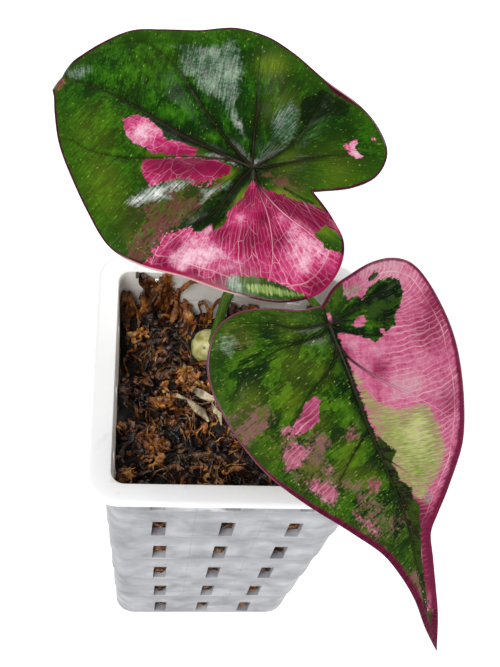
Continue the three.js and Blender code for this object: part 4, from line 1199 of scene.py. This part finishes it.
    # Pink tissue: magenta where it is deep, paler in clouds and streaks, and its net of pale veinlets.
    rosy = blotch
    for part, weight in ((grain, 0.45), (streak, 0.4), (pale, 0.4), (bright, -0.34)):
        rosy = add("Math MULTIPLY_ADD", part, weight, rosy)
    blush_from = blade["blush_from"]
    pink = tones["magenta"]
    for share, key in ((add("MapRange", rosy, blade["rosy_from"], blade["rosy_to"]), "pink"),
                       (add("MapRange", rosy, blush_from, blush_from + 0.42, 0, 0.95), "blush"),
                       (add("Math MULTIPLY", bright, 0.8), "wine"),
                       (add("Math MULTIPLY", veinlets, add("MapRange", bright, 0, 1, 1, 0.3)), "veinlet")):
        pink = add("Mix RGBA", share, pink, tones[key])
    loosened = add("Math MULTIPLY_ADD", grain, 12, -6)
    in_pink = add("Math MULTIPLY_ADD", loosened, mottled, add("Math ADD", pink_depth, ragged))
    in_pink = add("MapRange", in_pink, -0.1, 0.14)
    faintly = add("Math MULTIPLY_ADD", blotch, 4, add("Math MULTIPLY_ADD", grain, 4, faint_depth))
    for share in (add("MapRange", faintly, 3.3, 5, 0, 0.8), in_pink):
        colour = add("Mix RGBA", share, colour, pink)

    # Lime tissue streaked with cream, dusky where it fades into the pink, and near-black green sectors, those
    # along the midribs and on the front blade's lobe by its joint being painted shade.
    lime_tone = streak
    for part, weight in ((dash, 0.7), (cloud, 0.8), (pale, 0.5)):
        lime_tone = add("Math MULTIPLY_ADD", part, weight, lime_tone)
    rusty = add("MapRange", lime_depth, 0, 7, blade["rust"], 0)
    for part, weight in ((blotch, 0.6), (streak, -0.8)):
        rusty = add("Math MULTIPLY_ADD", part, weight, rusty)
    lime = tones["lime"]
    for share, key in ((add("MapRange", lime_tone, 1.1, 1.6), "cream"),
                       (add("MapRange", rusty, -0.06, 0.14, 0, 0.7), "rust"), (fleck, "cream"),
                       (add("Math MULTIPLY", side_veined, 0.45), "veinlet")):
        lime = add("Mix RGBA", share, lime, tones[key])
    fray = blade["lime_fray"]
    limy = add("Math MULTIPLY_ADD", streak, fray, lime_depth)
    limy = add("MapRange", limy, fray * 0.5 - 0.3, fray * 0.68, 0, 0.95)
    colour = add("Mix RGBA", limy, colour, lime)
    in_dark = add("MapRange", add("Math ADD", dark_depth, ragged), -0.1, 0.3, 0, 0.98)
    darkened = add("Mix RGBA", to_mid, tones["dark"], tones["dark_high"])
    colour = add("Mix RGBA", in_dark, colour, add("Mix RGBA", 0.16, darkened, green))

    # Painted glare: the lamps' reflections painted as pale sectors, dusky in places, with painted white
    # highlights streaked along the ribs.
    glint_streak = add("Math MULTIPLY_ADD", grain, 0.5, streak)
    glint_streaked = add("MapRange", add("Math MULTIPLY_ADD", cloud, 0.8, glint_streak), 1.04, 1.46)
    silver = tones["silver"]
    for share, key in ((glint_streaked, "frost"), (add("MapRange", blotch, 0.56, 0.66, 0, 0.7), "flush"),
                       (add("Math MULTIPLY", add("MapRange", glint_streak, 0.56, 0.74), pale), "bare")):
        silver = add("Mix RGBA", share, silver, tones[key])
    in_painted_glare = add("Math MULTIPLY_ADD", blotch, 2.6, add("Math MULTIPLY_ADD", glint_streak, 3.4, painted_glare_depth))
    colour = add("Mix RGBA", add("MapRange", in_painted_glare, 3.4, 5.6, 0, 0.92), colour, silver)

    # Main veins: each a fine brown thread in its sunken groove, whose near-black is painted shade, and in
    # pink a pale thread once it thins.
    run_out = add("Math MULTIPLY", add("MapRange", vein_run, 0.18, 0.5), in_pink)
    groove = add("Math MULTIPLY", add("MapRange", off_vein, 0.6, 1.6, 0.9, 0), near_joint)
    thread = add("MapRange", off_vein, 0.15, 0.5, 0.75, 0)
    for share, key, pink_key in ((groove, "groove", "magenta"), (thread, "vein", "veinlet")):
        colour = add("Mix RGBA", share, colour, add("Mix RGBA", run_out, tones[key], tones[pink_key]))

    # The margin: a burgundy border, and a thin pink line along part of it.
    frayed = add("Math MULTIPLY_ADD", blotch, 0.8, border_share)
    border = add("Mix RGBA", add("MapRange", streak, 0.35, 0.7), tones["border"], tones["border_high"])
    rosier = add("Math MULTIPLY", in_pink, blade["rosy_border"])
    border = add("Mix RGBA", rosier, border, tones["magenta"])
    colour = add("Mix RGBA", add("MapRange", frayed, 1.1, 1.6, 1, 0), colour, border)
    on_line = add("Math MULTIPLY", add("MapRange", edge, 0.2, 0.5, 0.9, 0), pink_line)
    colour = add("Mix RGBA", on_line, colour, tones["border_pink"])

    # The wax is uneven, and the tissue swells between its veinlets.
    swell = add("MapRange", net, 0, 0.3)
    for part, weight in ((blotch, 1), (streak, 0.9), (dash, 0.5)):
        swell = add("Math MULTIPLY_ADD", part, weight, swell)
    set_inputs(shader, {
        "Base Color": colour,
        "Roughness": add("MapRange", blotch, 0.3, 0.7, *((0.5, 0.7) if underside else (0.14, 0.24))),
        "Normal": add("Bump", Height=swell, Strength=0.35, Distance=0.1 * MM),
        "Coat Weight": 0.0 if underside else 0.05, "Coat Roughness": 0.12, "Specular IOR Level": 0.16})
    return made


# The colours of the tissues: the back blade above, what differs in the front one, and both below, greyer.
# Among them are the colours of painted reflections (the pale glare, its white glints and streaks) and of
# painted shade in the vein grooves.
upper_tones = {
    "deep": "#123904", "mid": "#205504", "light": "#3C750C", "shade": "#0A2604", "yellow": "#88A024",
    "rim": "#305606", "dark": "#081204", "dark_high": "#1C2C0A", "fleck": "#A8C048", "olive": "#4A5C14",
    "dusky": "#6C343A", "magenta": "#AC1C54", "pink": "#CC4A80", "blush": "#F6D0DE", "veinlet": "#F0C6CC",
    "wine": "#66062E", "lime": "#6A9030", "cream": "#B8C282", "rust": "#6E8A3C", "vein": "#3A2810",
    "groove": "#050801", "border": "#2C0612", "border_high": "#5A1030", "border_pink": "#E0B4B0",
    "silver": "#2E5232", "frost": "#A0B49E", "flush": "#8A6E84", "bare": "#F2F2F0",
}
front_tones = {
    **upper_tones, "deep": "#102C04", "mid": "#244A08", "light": "#44700E", "shade": "#082010",
    "yellow": "#72881A", "rim": "#345014", "fleck": "#C0CC6C", "olive": "#5C6022", "dusky": "#86545C",
    "magenta": "#A2345A", "pink": "#C26286", "blush": "#C89CA6", "veinlet": "#E6BAC2", "wine": "#6A1438",
    "lime": "#6A8A20", "cream": "#B6BC76", "rust": "#A87C74", "vein": "#2E3018", "dark_high": "#22380E",
    "border": "#480A22", "border_high": "#741840", "border_pink": "#7E4A5C", "silver": "#4E6A44",
    "frost": "#A8B8A0",
}
lower_tones = {
    "deep": "#5E7A4C", "mid": "#708C58", "light": "#849C66", "shade": "#4E6A42", "yellow": "#9AA868",
    "rim": "#74744C", "dark": "#4E6440", "dark_high": "#566C46", "fleck": "#8CA06A", "olive": "#747850",
    "dusky": "#9A7078", "magenta": "#A4567A", "pink": "#BC7E98", "blush": "#D0A8B4", "veinlet": "#C8A4AE",
    "lime": "#8E9A60", "cream": "#AEB080", "rust": "#A0887C", "vein": "#86A060", "groove": "#6E8A54",
    "border": "#6A1E3C", "border_high": "#7C3450", "border_pink": "#A06480", "wine": "#8A4464",
    "silver": "#7C9470", "frost": "#8EA482", "flush": "#9A8A84", "bare": "#98A88C",
}
# How coarse and how strong each blade's net, side veins, patches of green, fraying and flecks are.
back_blade.update(
    tones=upper_tones, lower_tones=lower_tones, net_size=(4.4, 5.2), net_strength=0.6, side_vein_spacing=7.5,
    fine_strength=0.25, wander=2.6, lime_fray=2.4, deepening=0.15, mosaic=0.12, fleck_from=0.7, rust=0.1,
    rosy_border=0.7, rosy_from=0.8, rosy_to=1.06, blush_from=1.04)
front_blade.update(
    tones=front_tones, lower_tones=lower_tones, net_size=(2.6, 9), net_strength=0.35, side_vein_spacing=6.8,
    fine_strength=0.45, wander=2, lime_fray=5, deepening=0.0, mosaic=0.4, fleck_from=0.66, rust=0.24,
    rosy_border=0.2, rosy_from=0.7, rosy_to=0.98, blush_from=1.0)

for name, node, blade in (("back_blade", "leaf_back", back_blade),
                          ("front_blade", "leaf_front", front_blade)):
    piece = make_blade(name, blade)
    piece.data.materials.append(blade_skin(name + "_upper_skin", blade, False))
    piece.data.materials.append(blade_skin(name + "_lower_skin", blade, True))
    thickness = piece.modifiers.new("thickness", "SOLIDIFY")
    thickness.thickness = BLADE_THICKNESS * MM
    thickness.offset = 0
    thickness.material_offset = 1
    apply_modifiers(piece)
    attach(piece, "root")
    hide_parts(node)

    # The main veins stand out below as round ridges that thin towards the margin.
    ridges = []
    for half_width, course in blade["veins"]:
        line = smooth_through(course, VEIN_POINTS)
        share = np.linspace(0, 1, len(line))
        radii = (half_width + 0.2) * (1 - 0.8 * share)
        lift = -BLADE_THICKNESS / 2 - (VEIN_SINK + PILLOW_DROP) * (1 - SINK_FADE * share) - 0.55 * radii
        ridges.append((off_sheet(blade, line[:, 0], line[:, 1], lift), radii))
    ridge = tapered_tubes(name + "_ridges", ridges, 12)
    ridge.data.materials.append(petiole_skin)
    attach(ridge, "root")

# The studio: a plain white floor that glows a little, so that shadows on it stay light, soft lights whose
# panels mirror in the leaves' wax, and the camera where the photograph was taken from.
CAMERA_PLACE = (-34.5, -155.5, 429.2)
CAMERA_YAW = -13.13
CAMERA_DOWN = 57.86
CAMERA_ROLL = 13.14
PHOTO_HEIGHT = 667
FOCAL_LENGTH = 1000
SENSOR = 36
floor_mesh = bmesh.new()
bmesh.ops.create_grid(floor_mesh, x_segments=1, y_segments=1, size=4)
floor = new_object("floor", floor_mesh)
paper, _, shader = new_material("matt_white_paper")
set_inputs(shader, {"Base Color": linear("#F4F4F4"), "Roughness": 0.9, "Emission Color": linear("#FFFFFF"),
                    "Emission Strength": 0.4})
floor.data.materials.append(paper)
floor.data.transform(Matrix.Translation((0, 0, -0.05 * MM)))

world = bpy.data.worlds.new("studio")
world.use_nodes = True
set_inputs(world.node_tree.nodes["Background"], {"Color": linear("#FFFFFF"), "Strength": 0.22})
bpy.context.scene.world = world
for name, place, target, width, depth, power in (
        ("wax_glint", (-0.42, 0.6, 1.2), (0, 0, 0.2), 0.2, 0.16, 0.3),
        ("key", (-0.6, -0.8, 1.3), (0, 0, 0.15), 0.9, 0.9, 18.8),
        ("right_fill", (1.1, 0.85, 1.2), (0, 0, 0.1), 0.9, 0.9, 18.4)):
    light = bpy.data.lights.new(name, "AREA")
    light.shape = "RECTANGLE"
    light.size = width
    light.size_y = depth
    light.energy = power
    lamp = new_object(name, light)
    lamp.location = place
    lamp.rotation_euler = (Vector(target) - Vector(place)).to_track_quat("-Z", "Y").to_euler()
# The photograph's colours and contrast are plain sRGB, without a film-like curve.
bpy.context.scene.view_settings.view_transform = "Standard"

camera_data = bpy.data.cameras.new("camera")
camera_data.sensor_width = SENSOR
camera_data.lens = FOCAL_LENGTH * SENSOR / PHOTO_HEIGHT
camera = new_object("camera", camera_data)
camera.matrix_world = (Matrix.Translation(Vector(CAMERA_PLACE) * MM)
                       @ Matrix.Rotation(math.radians(CAMERA_YAW), 4, "Z")
                       @ Matrix.Rotation(math.radians(90 - CAMERA_DOWN), 4, "X")
                       @ Matrix.Rotation(math.radians(CAMERA_ROLL), 4, "Z"))
bpy.context.scene.camera = camera
